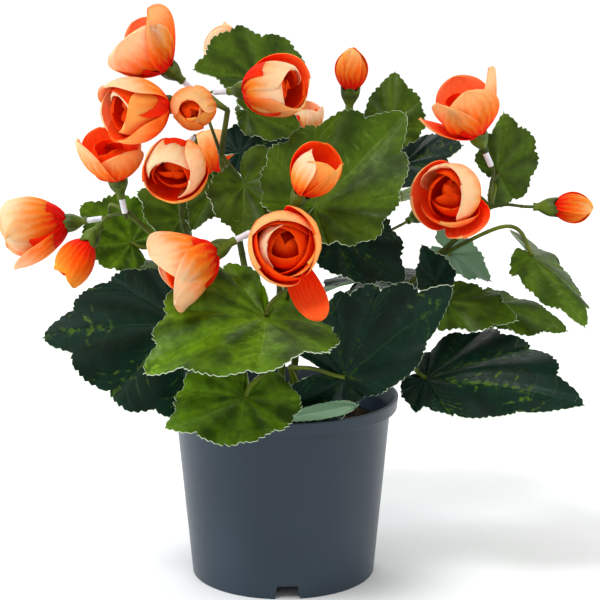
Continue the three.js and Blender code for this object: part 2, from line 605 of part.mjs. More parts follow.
// ---------------------------------------------------------------- stalks
// A stalk rises from its foot in the fill along path. Each branch leaves the stalk's path at
// point number from, and runs by way of via to the leaf or bloom that it names.
const STALKS = [
  { name: "stalk_left",
    path: [[-12, -4, 55], [-13, -5, 88], [-30, -6, 125], [-46, -10, 155], [-62, -16, 178],
      [-77, -20, 193]],
    branches: [
      { from: 3, via: [[-62, 6, 170]], to: "leaf_left_outer" },
      { from: 3, via: [], to: "leaf_left_inner" },
      { from: 5, via: [[-79, -32, 198]], to: "bloom_left_cup" },
      { from: 5, via: [[-86, -12, 196]], to: "bloom_far_left" },
      { from: 5, via: [[-86, -16, 191]], to: "bloom_far_left_half" },
    ] },
  { name: "stalk_upper_left",
    path: [[-5, 6, 55], [-6, 6, 88], [-14, 0, 130], [-22, -14, 180], [-28, -38, 215],
      [-29, -42, 224], [-26, -40, 246]],
    branches: [
      { from: 5, via: [], to: "leaf_mid_left" },
      { from: 3, via: [], to: "leaf_mid_left_pale" },
      { from: 6, via: [], to: "bloom_top_centre" },
      { from: 6, via: [], to: "bloom_top_left" },
      { from: 6, via: [], to: "bloom_left_front" },
      { from: 5, via: [], to: "bloom_left_half" },
    ] },
  { name: "stalk_inner_left",
    path: [[-14, 6, 55], [-15, 6, 88], [-30, 2, 130], [-42, -8, 165], [-49, -30, 190], [-49, -42, 203]],
    branches: [{ from: 5, via: [[-41, -46, 211]], to: "bloom_left_centre" }] },
  { name: "stalk_front",
    path: [[-2, -12, 55], [-2, -13, 88], [0, -38, 122], [1, -60, 150], [3, -70, 172]],
    branches: [
      { from: 4, via: [], to: "bloom_front_rose" },
      { from: 4, via: [], to: "bloom_front_pale" },
      { from: 4, via: [], to: "bloom_centre_half" },
      { from: 3, via: [[3, -80, 166]], to: "leaf_front_left" },
      { from: 2, via: [[-6, -68, 124]], to: "leaf_front_low" },
    ] },
  { name: "stalk_centre",
    path: [[4, 0, 55], [4, 0, 88], [8, -6, 130], [14, -12, 170], [19, -18, 200], [32, -2, 228]],
    branches: [
      { from: 4, via: [], to: "leaf_centre" },
      { from: 3, via: [], to: "leaf_centre_low" },
      { from: 5, via: [], to: "bud_top" },
      { from: 5, via: [[42, 8, 222]], to: "leaf_top_right" },
      { from: 4, via: [], to: "bloom_behind_centre" },
    ] },
  { name: "stalk_right",
    path: [[12, -2, 55], [13, -2, 88], [35, -8, 120], [58, -11, 148], [78, -15, 170], [104, -15, 195]],
    branches: [
      { from: 5, via: [[104, -16, 206]], to: "bloom_right_top" },
      { from: 5, via: [], to: "bloom_right_front" },
      { from: 5, via: [[111, -20, 197]], to: "bud_right" },
      { from: 5, via: [[107, -8, 204]], to: "leaf_right_upper" },
      { from: 4, via: [[110, -26, 187], [117, -36, 186]], to: "leaf_right_drooping" },
      { from: 4, via: [], to: "leaf_right_inner" },
      { from: 3, via: [], to: "leaf_stalk_small" },
      { from: 3, via: [[72, -11, 146]], to: "leaf_right_lower" },
      { from: 3, via: [[86, 0, 146]], to: "leaf_right_pointed" },
    ] },
  { name: "stalk_low_left",
    path: [[-13, -13, 55], [-14, -14, 88], [-20, -22, 110], [-30, -34, 132]],
    branches: [{ from: 3, via: [], to: "leaf_low_left" }] },
  { name: "stalk_low_right",
    path: [[12, -13, 55], [12, -14, 88], [8, -26, 104], [4, -38, 118]],
    branches: [
      { from: 3, via: [[15, -48, 120]], to: "leaf_front_right" },
      { from: 1, via: [[36, -22, 116], [60, -28, 121]], to: "leaf_low_right" },
    ] },
  { name: "stalk_back",
    path: [[0, 14, 55], [0, 15, 88], [-2, 25, 120], [-2, 34, 160], [-4, 36, 200], [-12, 30, 232]],
    branches: [
      { from: 5, via: [], to: "leaf_top" },
      { from: 5, via: [[-16, 16, 243]], to: "leaf_top_under" },
      { from: 5, via: [[-20, 28, 246]], to: "bloom_top_back" },
      { from: 4, via: [], to: "leaf_behind_centre" },
      { from: 3, via: [[1, 46, 178]], to: "leaf_back_upper" },
      { from: 3, via: [], to: "bloom_back_left" },
      { from: 3, via: [], to: "bloom_back_right" },
      { from: 3, via: [[30, 30, 180]], to: "leaf_back_side" },
      { from: 3, via: [[40, 16, 196], [54, 13, 206]], to: "leaf_behind_right" },
      { from: 2, via: [], to: "leaf_back_left" },
      { from: 2, via: [], to: "leaf_back_right" },
      { from: 2, via: [], to: "leaf_back_low" },
      { from: 3, via: [[40, 50, 165]], to: "bud_back" },
    ] },
];
const STALK_TAPER = 0.35;
const STALK_STEP = 24;
const BRANCH_STEP = 20;

/** A petiole whose end is moved along until its rim lies the seat gap off the blade. */
function petioleGeometry(start, via, leaf) {
  const { origin, away, near, end } = petioleSeat(leaf);
  const points = smoothRun([start, ...via, near, end], BRANCH_STEP);
  const before = points[points.length - 2];
  const steepness = end.clone().sub(before).normalize().dot(away);
  const rim = PETIOLE_RADIUS * Math.sqrt(1 - steepness * steepness);
  const reach = BLADE_THICKNESS / 2 + SEAT_GAP + rim;
  points[points.length - 1] = origin.clone().addScaledVector(away, reach);
  return tube(points, points.map(() => PETIOLE_RADIUS), PETIOLE_SIDES);
}

/** A bloom's stem in one run: the thin pedicel, the sleeve and the flared calyx. */
function pedicelGeometry(start, via, bloom) {
  const axis = vector(bloom.axis).normalize();
  const base = vector(bloom.base);
  const along = (distance) => base.clone().addScaledVector(axis, -distance);
  const sleeveEnd = CALYX_LENGTH + SLEEVE_LENGTH;
  const thin = smoothRun([start, ...via, along(sleeveEnd + PEDICEL_RUN_IN), along(sleeveEnd)], BRANCH_STEP);
  const places = [sleeveEnd - SLEEVE_OVERLAP, CALYX_LENGTH, CALYX_LENGTH * CALYX_WAIST, 0];
  const radii = [SLEEVE_RADIUS, SLEEVE_RADIUS, CALYX_RADIUS * CALYX_WAIST_RADIUS, CALYX_RADIUS];
  const allRadii = [...thin.map(() => PEDICEL_RADIUS), ...radii];
  return tube([...thin, ...places.map(along)], allRadii, PEDICEL_SIDES);
}

/** A stalk's run: a straight foot in its hole, then a smooth rise. */
function stalkPoints(stalk) {
  const [foot, ...rise] = stalk.path.map(vector);
  return [foot, ...smoothRun(rise, STALK_STEP)];
}

function stalkRadii(points) {
  return points.map((_, i) => STALK_RADIUS * (1 - (STALK_TAPER * i) / points.length));
}

function stalkGeometry(stalk) {
  const points = stalkPoints(stalk);
  const pieces = [tube(points, stalkRadii(points), STALK_SIDES)];
  for (const { from, via, to } of stalk.branches) {
    const start = vector(stalk.path[from]);
    const leaf = LEAVES.find((item) => item.name === to);
    const bloom = BLOOMS.find((item) => item.name === to);
    if (leaf) {
      pieces.push(petioleGeometry(start, via.map(vector), leaf));
    } else {
      pieces.push(pedicelGeometry(start, via.map(vector), bloom));
    }
  }
  return fused(pieces);
}

// ---------------------------------------------------------------- pot and fill
/** The notch's cutter: a prism through the foot of the wall, at its angle round the pot. */
function notchCutter(index) {
  const outline = [
    [-NOTCH_FOOT_WIDTH / 2, -1],
    [NOTCH_FOOT_WIDTH / 2, -1],
    [NOTCH_TOP_WIDTH / 2, NOTCH_HEIGHT],
    [-NOTCH_TOP_WIDTH / 2, NOTCH_HEIGHT],
  ];
  const shape = new THREE.Shape(outline.map(([x, z]) => new THREE.Vector2(x, z)));
  const depth = 3 * POT_WALL;
  const cutter = new THREE.ExtrudeGeometry(shape, { depth, bevelEnabled: false });
  cutter.rotateX(Math.PI / 2);
  cutter.translate(0, POT_FOOT_RADIUS + 2 * POT_WALL, 0);
  cutter.rotateZ(NOTCH_FIRST_ANGLE - Math.PI / 2 + (2 * Math.PI * index) / NOTCH_COUNT);
  return cutter;
}

function drainCutter(index) {
  const cutter = new THREE.CylinderGeometry(DRAIN_RADIUS, DRAIN_RADIUS, 4 * POT_WALL, DRAIN_SIDES);
  cutter.rotateX(Math.PI / 2);
  cutter.translate(DRAIN_CIRCLE, 0, POT_FOOT_LIFT);
  cutter.rotateZ((2 * Math.PI * index) / DRAIN_COUNT);
  return cutter;
}

function lathe(profile, sides) {
  const geometry = new THREE.LatheGeometry(profile.map(([r, z]) => new THREE.Vector2(r, z)), sides);
  return geometry.rotateX(Math.PI / 2);
}

/** Outer radius of the pot's tapered wall at height z. */
function wallRadius(z) {
  const slope = (POT_LEDGE_RADIUS - POT_FOOT_RADIUS) / (POT_HEIGHT - POT_RIM_BAND);
  return POT_FOOT_RADIUS + slope * z;
}

function potGeometry() {
  const ledge = POT_HEIGHT - POT_RIM_BAND;
  const plateTop = POT_FOOT_LIFT + POT_WALL;
  const profile = [
    [0, POT_FOOT_LIFT],
    [wallRadius(POT_FOOT_LIFT) - POT_WALL, POT_FOOT_LIFT],
    [POT_FOOT_RADIUS - POT_WALL, 0],
    [POT_FOOT_RADIUS, 0],
    [POT_LEDGE_RADIUS, ledge],
    [POT_RIM_RADIUS - RIM_FLARE, ledge],
    [POT_RIM_RADIUS, POT_HEIGHT - RIM_EDGE],
    [POT_RIM_RADIUS - RIM_EDGE, POT_HEIGHT],
    [POT_RIM_RADIUS - POT_WALL, POT_HEIGHT],
    [wallRadius(ledge) - POT_WALL, ledge],
    [wallRadius(plateTop) - POT_WALL, plateTop],
    [0, plateTop],
  ];
  let pot = toSolid(lathe(profile, POT_SIDES));
  for (let index = 0; index < NOTCH_COUNT; index += 1) {
    pot = pot.subtract(toSolid(notchCutter(index)));
  }
  for (let index = 0; index < DRAIN_COUNT; index += 1) {
    pot = pot.subtract(toSolid(drainCutter(index)));
  }
  return toGeometry(pot);
}

/** The fill, with a plain hole round the foot of each stalk. */
function fillGeometry() {
  const bed = POT_FOOT_LIFT + POT_WALL + SEAT_GAP;
  const clear = POT_WALL + 2 * SEAT_GAP;
  const profile = [
    [0, bed],
    [wallRadius(bed) - clear, bed],
    [wallRadius(FILL_TOP) - clear, FILL_TOP],
    [FILL_CROWN_RADIUS, FILL_TOP + FILL_CROWN * FILL_SHOULDER],
    [0, FILL_TOP + FILL_CROWN],
  ];
  let fill = toSolid(lathe(profile, FILL_SIDES));
  for (const stalk of STALKS) {
    const [foot, collar] = stalk.path.map(vector);
    const along = collar.clone().sub(foot).normalize();
    const bottom = foot.clone().addScaledVector(along, -SEAT_GAP);
    const top = foot.clone().addScaledVector(along, STALK_HOLE_DEPTH);
    const radius = STALK_RADIUS + 2 * SEAT_GAP;
    fill = fill.subtract(toSolid(tube([bottom, top], [radius, radius], STALK_SIDES)));
  }
  return toGeometry(fill);
}

// ---------------------------------------------------------------- the whole plant
function begonia() {
  const group = new THREE.Group();
  group.add(part("pot", potGeometry(), POT_GREY, 0.45));
  group.add(part("fill", fillGeometry(), FILL_BROWN, 0.95));
  for (const stalk of STALKS) {
    group.add(part(stalk.name, stalkGeometry(stalk), STEM_OLIVE, 0.55));
  }
  for (const leaf of LEAVES) {
    group.add(part(leaf.name, leafGeometry(leaf), leaf.tone, 0.7));
  }
  for (const bloom of BLOOMS) {
    group.add(part(bloom.name, bloomGeometry(bloom), PETAL_ORANGE, 0.8));
  }
  return group;
}

export default begonia();
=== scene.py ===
"""Looks of a potted begonia of fabric and plastic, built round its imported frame.

Fabric leaves and petals stand on olive plastic stalks in a dark nursery pot. Sizes in the
classes are millimetres; meshes are in metres, +Z up, with -Y towards the viewer.
"""

import logging
import math
from collections.abc import Iterable, Sequence
from dataclasses import dataclass, field, replace
from enum import Enum

import bmesh
import bpy
import numpy as np
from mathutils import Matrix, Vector

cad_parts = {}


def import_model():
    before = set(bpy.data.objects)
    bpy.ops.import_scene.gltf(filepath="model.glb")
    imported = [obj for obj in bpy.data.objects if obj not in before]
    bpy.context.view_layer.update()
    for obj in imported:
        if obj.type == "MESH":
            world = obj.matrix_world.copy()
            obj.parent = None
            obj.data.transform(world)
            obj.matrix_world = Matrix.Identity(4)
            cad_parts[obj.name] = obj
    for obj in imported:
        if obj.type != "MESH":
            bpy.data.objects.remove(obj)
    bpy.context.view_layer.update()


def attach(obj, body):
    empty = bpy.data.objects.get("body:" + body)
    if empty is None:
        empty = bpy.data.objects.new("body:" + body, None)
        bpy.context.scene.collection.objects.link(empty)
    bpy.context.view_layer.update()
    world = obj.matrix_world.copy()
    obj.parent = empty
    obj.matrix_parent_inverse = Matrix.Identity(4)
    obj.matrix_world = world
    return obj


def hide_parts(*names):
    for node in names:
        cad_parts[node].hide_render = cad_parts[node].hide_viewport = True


MM = 0.001
BODY = "root"

CURVE_STEPS = 25
FOLD_SOFTNESS = 0.06
RIDGE_SIDES = 10
RIDGE_EDGE_SIDES = 5
RIDGE_SCALES = (0.82, 1.08)
CRUMB_SLOPE = 0.7
CRUMB_SCALES = ((0.5, 0.35, 0.2), (1.7, 1.0, 0.6))

Colour = tuple[float, float, float, float]
Triple = tuple[float, float, float]
Pair = tuple[float, float]
log = logging.getLogger("begonia")


def srgb(red: float, green: float, blue: float) -> Colour:
    """Turns a display colour into the linear one that shaders take.

    Args:
        red: Red, 0 to 255.
        green: Green, 0 to 255.
        blue: Blue, 0 to 255.

    Returns:
        The linear colour with full alpha.
    """
    linear = [((channel / 255 + 0.055) / 1.055) ** 2.4 for channel in (red, green, blue)]
    return (*linear, 1.0)


def unit(vector: np.ndarray) -> np.ndarray:
    """The vector at length 1."""
    return vector / np.linalg.norm(vector)


def smoothstep(value: np.ndarray, low: float, high: float) -> np.ndarray:
    """A smooth rise from 0 at low to 1 at high."""
    share = np.clip((value - low) / (high - low), 0, 1)
    return share * share * (3 - 2 * share)


# ---------------------------------------------------------------- shader and geometry trees
class Tree:
    """A node tree, with a short way to add its nodes."""

    def __init__(self, tree: bpy.types.NodeTree) -> None:
        """Takes hold of an empty tree.

        Args:
            tree: The tree.
        """
        self.tree = tree

    def add(self, kind: str, inputs: dict | None = None, **settings: object) -> bpy.types.Node:
        """Adds a node.

        Args:
            kind: The node's Blender type.
            inputs: A value, or one or several output sockets, for each input named or numbered.
            **settings: Values of the node's own properties.

        Returns:
            The new node.
        """
        node = self.tree.nodes.new(kind)
        for key, value in settings.items():
            setattr(node, key, value)
        for key, value in (inputs or {}).items():
            if isinstance(value, (bpy.types.NodeSocket, list)):
                for source in value if isinstance(value, list) else [value]:
                    self.tree.links.new(source, node.inputs[key])
            else:
                node.inputs[key].default_value = value
        return node


class Shader(Tree):
    """A material's node tree, with short ways to add its nodes."""

    def __init__(self, name: str) -> None:
        """Starts an empty material.

        Args:
            name: The material's name.
        """
        self.material = bpy.data.materials.new(name)
        self.material.use_nodes = True
        super().__init__(self.material.node_tree)
        self.tree.nodes.clear()

    def maths(self, operation: str, *values: object) -> bpy.types.NodeSocket:
        """The result of one Math node on the values."""
        return self.add("ShaderNodeMath", dict(enumerate(values)), operation=operation).outputs[0]

    def mix(self, share: object, first: object, second: object) -> bpy.types.NodeSocket:
        """The blend of two colours, all second where share is 1."""
        inputs = {0: share, 6: first, 7: second}
        return self.add("ShaderNodeMix", inputs, data_type="RGBA").outputs[2]

    def ramp(
            self, value: object, low: float, high: float, start: float = 0.0,
            end: float = 1.0) -> bpy.types.NodeSocket:
        """A smooth change from start at low to end at high."""
        inputs = {"Value": value, "From Min": low, "From Max": high, "To Min": start, "To Max": end}
        return self.add("ShaderNodeMapRange", inputs, interpolation_type="SMOOTHSTEP").outputs[0]

    def noise(self, place: object, scale: float, detail: float = 2.0) -> bpy.types.NodeSocket:
        """Noise between 0 and 1."""
        inputs = {"Vector": place, "Scale": scale, "Detail": detail}
        return self.add("ShaderNodeTexNoise", inputs).outputs[0]

    def place(self) -> bpy.types.NodeSocket:
        """The point's place on the object, in metres."""
        return self.add("ShaderNodeTexCoord").outputs["Object"]

    def attribute(self, name: str) -> bpy.types.NodeSocket:
        """A number stored on the mesh."""
        return self.add("ShaderNodeAttribute", attribute_name=name).outputs["Fac"]

    def sheet_place(self) -> tuple[bpy.types.NodeSocket, bpy.types.NodeSocket]:
        """The two coordinates that are stored on a sheet of fabric.

        Returns:
            The place across and the place along, as sockets.
        """
        stored = self.add("ShaderNodeUVMap", uv_map="sheet").outputs[0]
        split = self.add("ShaderNodeSeparateXYZ", {0: stored})
        return split.outputs[0], split.outputs[1]

    def bump(self, height: object, distance: float) -> bpy.types.NodeSocket:
        """A surface normal tilted by the height, at most distance metres deep."""
        return self.add("ShaderNodeBump", {"Height": height, "Distance": distance}).outputs[0]

    def finish(self, inputs: dict) -> bpy.types.Material:
        """Ends the tree in a principled shader.

        Args:
            inputs: The shader's inputs.

        Returns:
            The material.
        """
        surface = self.add("ShaderNodeBsdfPrincipled", inputs)
        self.add("ShaderNodeOutputMaterial", {0: surface.outputs[0]})
        return self.material


class Growth(Tree):
    """A Geometry Nodes tree, with short ways to end it and to run it."""

    def __init__(self, name: str, inputs: dict[str, str]) -> None:
        """Starts a tree.

        Args:
            name: The tree's name.
            inputs: The socket type of each named input, after the geometry.
        """
        super().__init__(bpy.data.node_groups.new(name, "GeometryNodeTree"))
        sockets = self.tree.interface
        sockets.new_socket("Geometry", in_out="INPUT", socket_type="NodeSocketGeometry")
        for label, kind in inputs.items():
            sockets.new_socket(label, in_out="INPUT", socket_type=kind)
        sockets.new_socket("Geometry", in_out="OUTPUT", socket_type="NodeSocketGeometry")
        self.entry = self.tree.nodes.new("NodeGroupInput").outputs

    def end(self, geometry: list[bpy.types.NodeSocket]) -> None:
        """Joins the geometry, makes it real and gives it the finish.

        Args:
            geometry: Every output that the result is made of.
        """
        joined = self.add("GeometryNodeJoinGeometry", {0: geometry}).outputs[0]
        real = self.add("GeometryNodeRealizeInstances", {0: joined}).outputs[0]
        smooth = self.add("GeometryNodeSetShadeSmooth", {0: real}).outputs[0]
        inputs = {"Geometry": smooth, "Material": self.entry["Finish"]}
        dressed = self.add("GeometryNodeSetMaterial", inputs).outputs[0]
        self.add("NodeGroupOutput", {0: dressed})

    def run(self, piece: bpy.types.Object, values: dict[str, object]) -> None:
        """Runs the tree on a piece and keeps the result as its plain mesh.

        Args:
            piece: The piece, whose mesh goes in.
            values: A value for each named input.
        """
        modifier = piece.modifiers.new("growth", "NODES")
        modifier.node_group = self.tree
        for socket in self.tree.interface.items_tree:
            if socket.in_out == "INPUT" and socket.name in values:
                modifier[socket.identifier] = values[socket.name]
        graph = bpy.context.evaluated_depsgraph_get()
        grown = bpy.data.meshes.new_from_object(piece.evaluated_get(graph), depsgraph=graph)
        seed = piece.data
        piece.modifiers.clear()
        piece.data = grown
        bpy.data.meshes.remove(seed)


def stem_growth() -> Growth:
    """The tree that turns lines with a radius at each point into ridged plastic stems.

    Returns:
        The tree, with its sizes as named inputs.
    """
    growth = Growth("stem growth", {
        "Sides": "NodeSocketInt", "Ridge Spacing": "NodeSocketFloat", "Ridge Height": "NodeSocketFloat",
        "Seed": "NodeSocketInt", "Finish": "NodeSocketMaterial"})
    stored = growth.add("GeometryNodeInputNamedAttribute", {"Name": "radius"}, data_type="FLOAT")
    radius = stored.outputs[0]
    lines = growth.add("GeometryNodeMeshToCurve", {0: growth.entry["Geometry"]}).outputs[0]
    run = growth.add("GeometryNodeSetCurveRadius", {"Curve": lines, "Radius": radius}).outputs[0]
    ring = growth.add("GeometryNodeCurvePrimitiveCircle", {
        "Resolution": growth.entry["Sides"], "Radius": 1.0})
    own = growth.add("GeometryNodeInputRadius").outputs[0]
    tube = growth.add("GeometryNodeCurveToMesh", {
        "Curve": run, "Profile Curve": ring.outputs[0], "Scale": own, "Fill Caps": True}).outputs[0]
    cuff = growth.add("GeometryNodeCurvePrimitiveCircle", {
        "Resolution": RIDGE_SIDES, "Radius": 1.0}).outputs[0]
    edge = growth.add("GeometryNodeCurvePrimitiveCircle", {
        "Resolution": RIDGE_EDGE_SIDES, "Radius": growth.entry["Ridge Height"]}).outputs[0]
    ridge = growth.add("GeometryNodeCurveToMesh", {"Curve": cuff, "Profile Curve": edge}).outputs[0]
    spots = growth.add("GeometryNodeCurveToPoints", {
        "Curve": run, "Length": growth.entry["Ridge Spacing"]}, mode="LENGTH")
    least, most = RIDGE_SCALES
    size = growth.add("FunctionNodeRandomValue", {
        2: least, 3: most, "Seed": growth.entry["Seed"]}, data_type="FLOAT")
    scale = growth.add("ShaderNodeMath", {0: own, 1: size.outputs[1]}, operation="MULTIPLY").outputs[0]
    ridges = growth.add("GeometryNodeInstanceOnPoints", {
        "Points": spots.outputs[0], "Instance": ridge,
        "Rotation": spots.outputs["Rotation"], "Scale": scale})
    growth.end([tube, ridges.outputs[0]])
    return growth


def crumb_growth() -> Growth:
    """The tree that scatters crumbs over the upward faces of the fill.

    Returns:
        The tree, with its sizes as named inputs.
    """
    growth = Growth("crumb growth", {
        "Density": "NodeSocketFloat", "Crumb Size": "NodeSocketFloat", "Seed": "NodeSocketInt",
        "Finish": "NodeSocketMaterial"})
    bed = growth.entry["Geometry"]
    normal = growth.add("GeometryNodeInputNormal").outputs[0]
    height = growth.add("ShaderNodeSeparateXYZ", {0: normal}).outputs[2]
    upward = growth.add(
        "FunctionNodeCompare", {0: height, 1: CRUMB_SLOPE}, data_type="FLOAT", operation="GREATER_THAN")
    points = growth.add("GeometryNodeDistributePointsOnFaces", {
        "Mesh": bed, "Selection": upward.outputs[0], "Density": growth.entry["Density"],
        "Seed": growth.entry["Seed"]}).outputs[0]
    crumb = growth.add("GeometryNodeMeshIcoSphere", {
        "Radius": growth.entry["Crumb Size"], "Subdivisions": 1})
    turn, size = (
        growth.add("FunctionNodeRandomValue", {0: least, 1: most, "Seed": growth.entry["Seed"]},
                   data_type="FLOAT_VECTOR")
        for least, most in (((0, 0, 0), (math.tau, math.tau, math.tau)), CRUMB_SCALES))
    crumbs = growth.add("GeometryNodeInstanceOnPoints", {
        "Points": points, "Instance": crumb.outputs[0],
        "Rotation": turn.outputs[0], "Scale": size.outputs[0]})
    growth.end([bed, crumbs.outputs[0]])
    return growth


# ---------------------------------------------------------------- meshes
@dataclass
class Sheet:
    """A thin curved sheet, before it gets its thickness.

    Attributes:
        points: Place of each point, in millimetres.
        faces: Point numbers of each face, so that the outer or upper side faces out.
        places: Two coordinates of each point on the sheet, for its pattern.
        marks: Further numbers for each point, by name.
    """

    points: np.ndarray
    faces: list[tuple[int, ...]]
    places: np.ndarray
    marks: dict[str, np.ndarray] = field(default_factory=dict)

    def normals(self) -> np.ndarray:
        """The mean normal of the faces round each point.

        Returns:
            A unit normal for each point.
        """
        total = np.zeros_like(self.points)
        corners = np.array([(*face, face[-1])[:4] for face in self.faces])
        first = self.points[corners[:, 2]] - self.points[corners[:, 0]]
        second = self.points[corners[:, 3]] - self.points[corners[:, 1]]
        flat = np.cross(first, second)
        for column in range(4):
            np.add.at(total, corners[:, column], flat)
        return total / np.maximum(np.linalg.norm(total, axis=1, keepdims=True), 1e-9)

    def thickened(self, thickness: float) -> "Sheet":
        """Gives the sheet two sides and a cut edge.

        Args:
            thickness: The fabric's thickness in millimetres.

        Returns:
            A closed sheet whose mark "under" is 1 on the lower or inner side.
        """
        count = len(self.points)
        offset = self.normals() * (thickness / 2)
        sides = {(a, b) for face in self.faces for a, b in zip(face, (*face[1:], face[0]))}
        rim = [(b, a) for a, b in sides if (b, a) not in sides]
        faces = list(self.faces)
        faces += [tuple(corner + count for corner in reversed(face)) for face in self.faces]
        faces += [(a, b, b + count, a + count) for a, b in sorted(rim)]
        marks = {name: np.tile(values, 2) for name, values in self.marks.items()}
        marks["under"] = np.repeat([0.0, 1.0], count)
        points = np.vstack([self.points + offset, self.points - offset])
        return Sheet(points, faces, np.tile(self.places, (2, 1)), marks)


def joined(sheets: Iterable[Sheet]) -> Sheet:
    """All the sheets as one.

    Args:
        sheets: The sheets.

    Returns:
        One sheet of them all.
    """
    sheets = list(sheets)
    starts = np.cumsum([0] + [len(sheet.points) for sheet in sheets])
    faces = [tuple(int(start) + corner for corner in face)
             for start, sheet in zip(starts, sheets) for face in sheet.faces]
    marks = {name: np.concatenate([sheet.marks[name] for sheet in sheets]) for name in sheets[0].marks}
    points = np.vstack([sheet.points for sheet in sheets])
    return Sheet(points, faces, np.vstack([sheet.places for sheet in sheets]), marks)


def grid_faces(rows: int, columns: int) -> list[tuple[int, ...]]:
    """The four-sided faces of a grid of points, row by row."""
    starts = [row * columns + k for row in range(rows - 1) for k in range(columns - 1)]
    return [(start, start + 1, start + columns + 1, start + columns) for start in starts]


def soften(mesh: bpy.types.Mesh, crease: float) -> None:
    """Shades the mesh smooth, except at edges sharper than crease degrees.

    Args:
        mesh: The mesh, changed in place.
        crease: Angle over which an edge stays sharp, in degrees.
    """
    shape = bmesh.new()
    shape.from_mesh(mesh)
    for face in shape.faces:
        face.smooth = True
    for edge in shape.edges:
        edge.smooth = len(edge.link_faces) == 2 and edge.calc_face_angle(0.0) < math.radians(crease)
    shape.to_mesh(mesh)
    shape.free()


def make_piece(
        name: str, sheet: Sheet, material: bpy.types.Material | None,
        crease: float = 60.0) -> bpy.types.Object:
    """Makes a smooth piece of a closed sheet.

    Args:
        name: The piece's name.
        sheet: Its points, in millimetres, with faces and marks.
        material: Its finish, or None for a cutter.
        crease: Angle in degrees past which an edge stays sharp.

    Returns:
        The new object, at the origin.
    """
    mesh = bpy.data.meshes.new(name)
    mesh.from_pydata((sheet.points * MM).tolist(), [], sheet.faces)
    corners = np.zeros(len(mesh.loops), np.int32)
    mesh.loops.foreach_get("vertex_index", corners)
    layer = mesh.uv_layers.new(name="sheet")
    layer.data.foreach_set("uv", sheet.places[corners].astype(np.float32).ravel())
    for label, values in sheet.marks.items():
        mark = mesh.attributes.new(label, "FLOAT", "POINT")
        mark.data.foreach_set("value", values.astype(np.float32))
    mesh.materials.append(material)
    soften(mesh, crease)
    piece = bpy.data.objects.new(name, mesh)
    bpy.context.scene.collection.objects.link(piece)
    return piece


def turned(profile: Sequence[Pair], sides: int) -> Sheet:
    """Turns a profile about the vertical axis.

    Args:
        profile: Radius and height of each point, the ends on the axis, anticlockwise.
        sides: Number of steps round the axis.

    Returns:
        A closed sheet.
    """
    inner = list(profile[1:-1])
    angles = np.linspace(0, math.tau, sides, endpoint=False)
    rings = [np.stack([r * np.cos(angles), r * np.sin(angles), np.full(sides, z)], 1) for r, z in inner]
    poles = [(0.0, 0.0, profile[0][1]), (0.0, 0.0, profile[-1][1])]
    points = np.vstack([*rings, poles])
    low, high = len(points) - 2, len(points) - 1
    last = (len(inner) - 1) * sides
    faces: list[tuple[int, ...]] = []
    for k in range(sides):
        n = (k + 1) % sides
        faces += [(row * sides + k, row * sides + n, (row + 1) * sides + n, (row + 1) * sides + k)
                  for row in range(len(inner) - 1)]
        faces += [(low, n, k), (high, last + k, last + n)]
    return Sheet(points, faces, np.zeros((len(points), 2)))


def rounded(profile: Sequence[tuple[float, float, float]], steps: int = 5) -> list[Pair]:
    """Rounds the corners of a profile.

    Args:
        profile: Radius and height of each corner, and how far back from it the curve starts.
        steps: Number of steps in each curve.

    Returns:
        The profile's points.
    """
    corners = [np.array(corner[:2]) for corner in profile]
    line: list[Pair] = []
    for k, (r, z, back) in enumerate(profile):
        if back == 0 or k in (0, len(profile) - 1):
            line.append((r, z))
            continue
        start = corners[k] + unit(corners[k - 1] - corners[k]) * back
        end = corners[k] + unit(corners[k + 1] - corners[k]) * back
        for share in np.linspace(0, 1, steps):
            point = (1 - share) ** 2 * start + 2 * share * (1 - share) * corners[k] + share ** 2 * end
            line.append((float(point[0]), float(point[1])))
    return line


def smooth_line(points: Sequence[Triple], step: float) -> np.ndarray:
    """A smooth curve through the points, at even steps.

    Args:
        points: The points, in millimetres.
        step: Distance between the curve's points.

    Returns:
        The curve's points.
    """
    given = np.array(points, float)
    padded = np.vstack([2 * given[0] - given[1], given, 2 * given[-1] - given[-2]])
    shares = np.linspace(0, 1, CURVE_STEPS)[:, None]
    runs = []
    for a, b, c, d in zip(padded, padded[1:], padded[2:], padded[3:]):
        gaps = [math.sqrt(np.linalg.norm(end - start)) for start, end in ((a, b), (b, c), (c, d))]
        before = ((b - a) / gaps[0] - (c - a) / (gaps[0] + gaps[1]) + (c - b) / gaps[1]) * gaps[1]
        after = ((c - b) / gaps[1] - (d - b) / (gaps[1] + gaps[2]) + (d - c) / gaps[2]) * gaps[1]
        cubic = 2 * b - 2 * c + before + after
        square = -3 * b + 3 * c - 2 * before - after
        runs.append(((cubic * shares + square) * shares + before) * shares + b)
    fine = np.vstack(runs)
    travel = np.concatenate([[0], np.cumsum(np.linalg.norm(np.diff(fine, axis=0), axis=1))])
    places = np.linspace(0, travel[-1], max(2, round(travel[-1] / step) + 1))
    return np.stack([np.interp(places, travel, fine[:, axis]) for axis in range(3)], 1)


def keep(piece: bpy.types.Object, slot: str, *nodes: str) -> None:
    """Hands a finished piece to the frame and reports it.

    Args:
        piece: The piece.
        slot: Name of the record's material slot for the piece, which is only logged.
        *nodes: The CAD nodes that it stands for.
    """
    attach(piece, BODY)
    if nodes:
        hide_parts(*nodes)
    log.info("%s: %d faces, slot %s", piece.name, len(piece.data.polygons), slot)


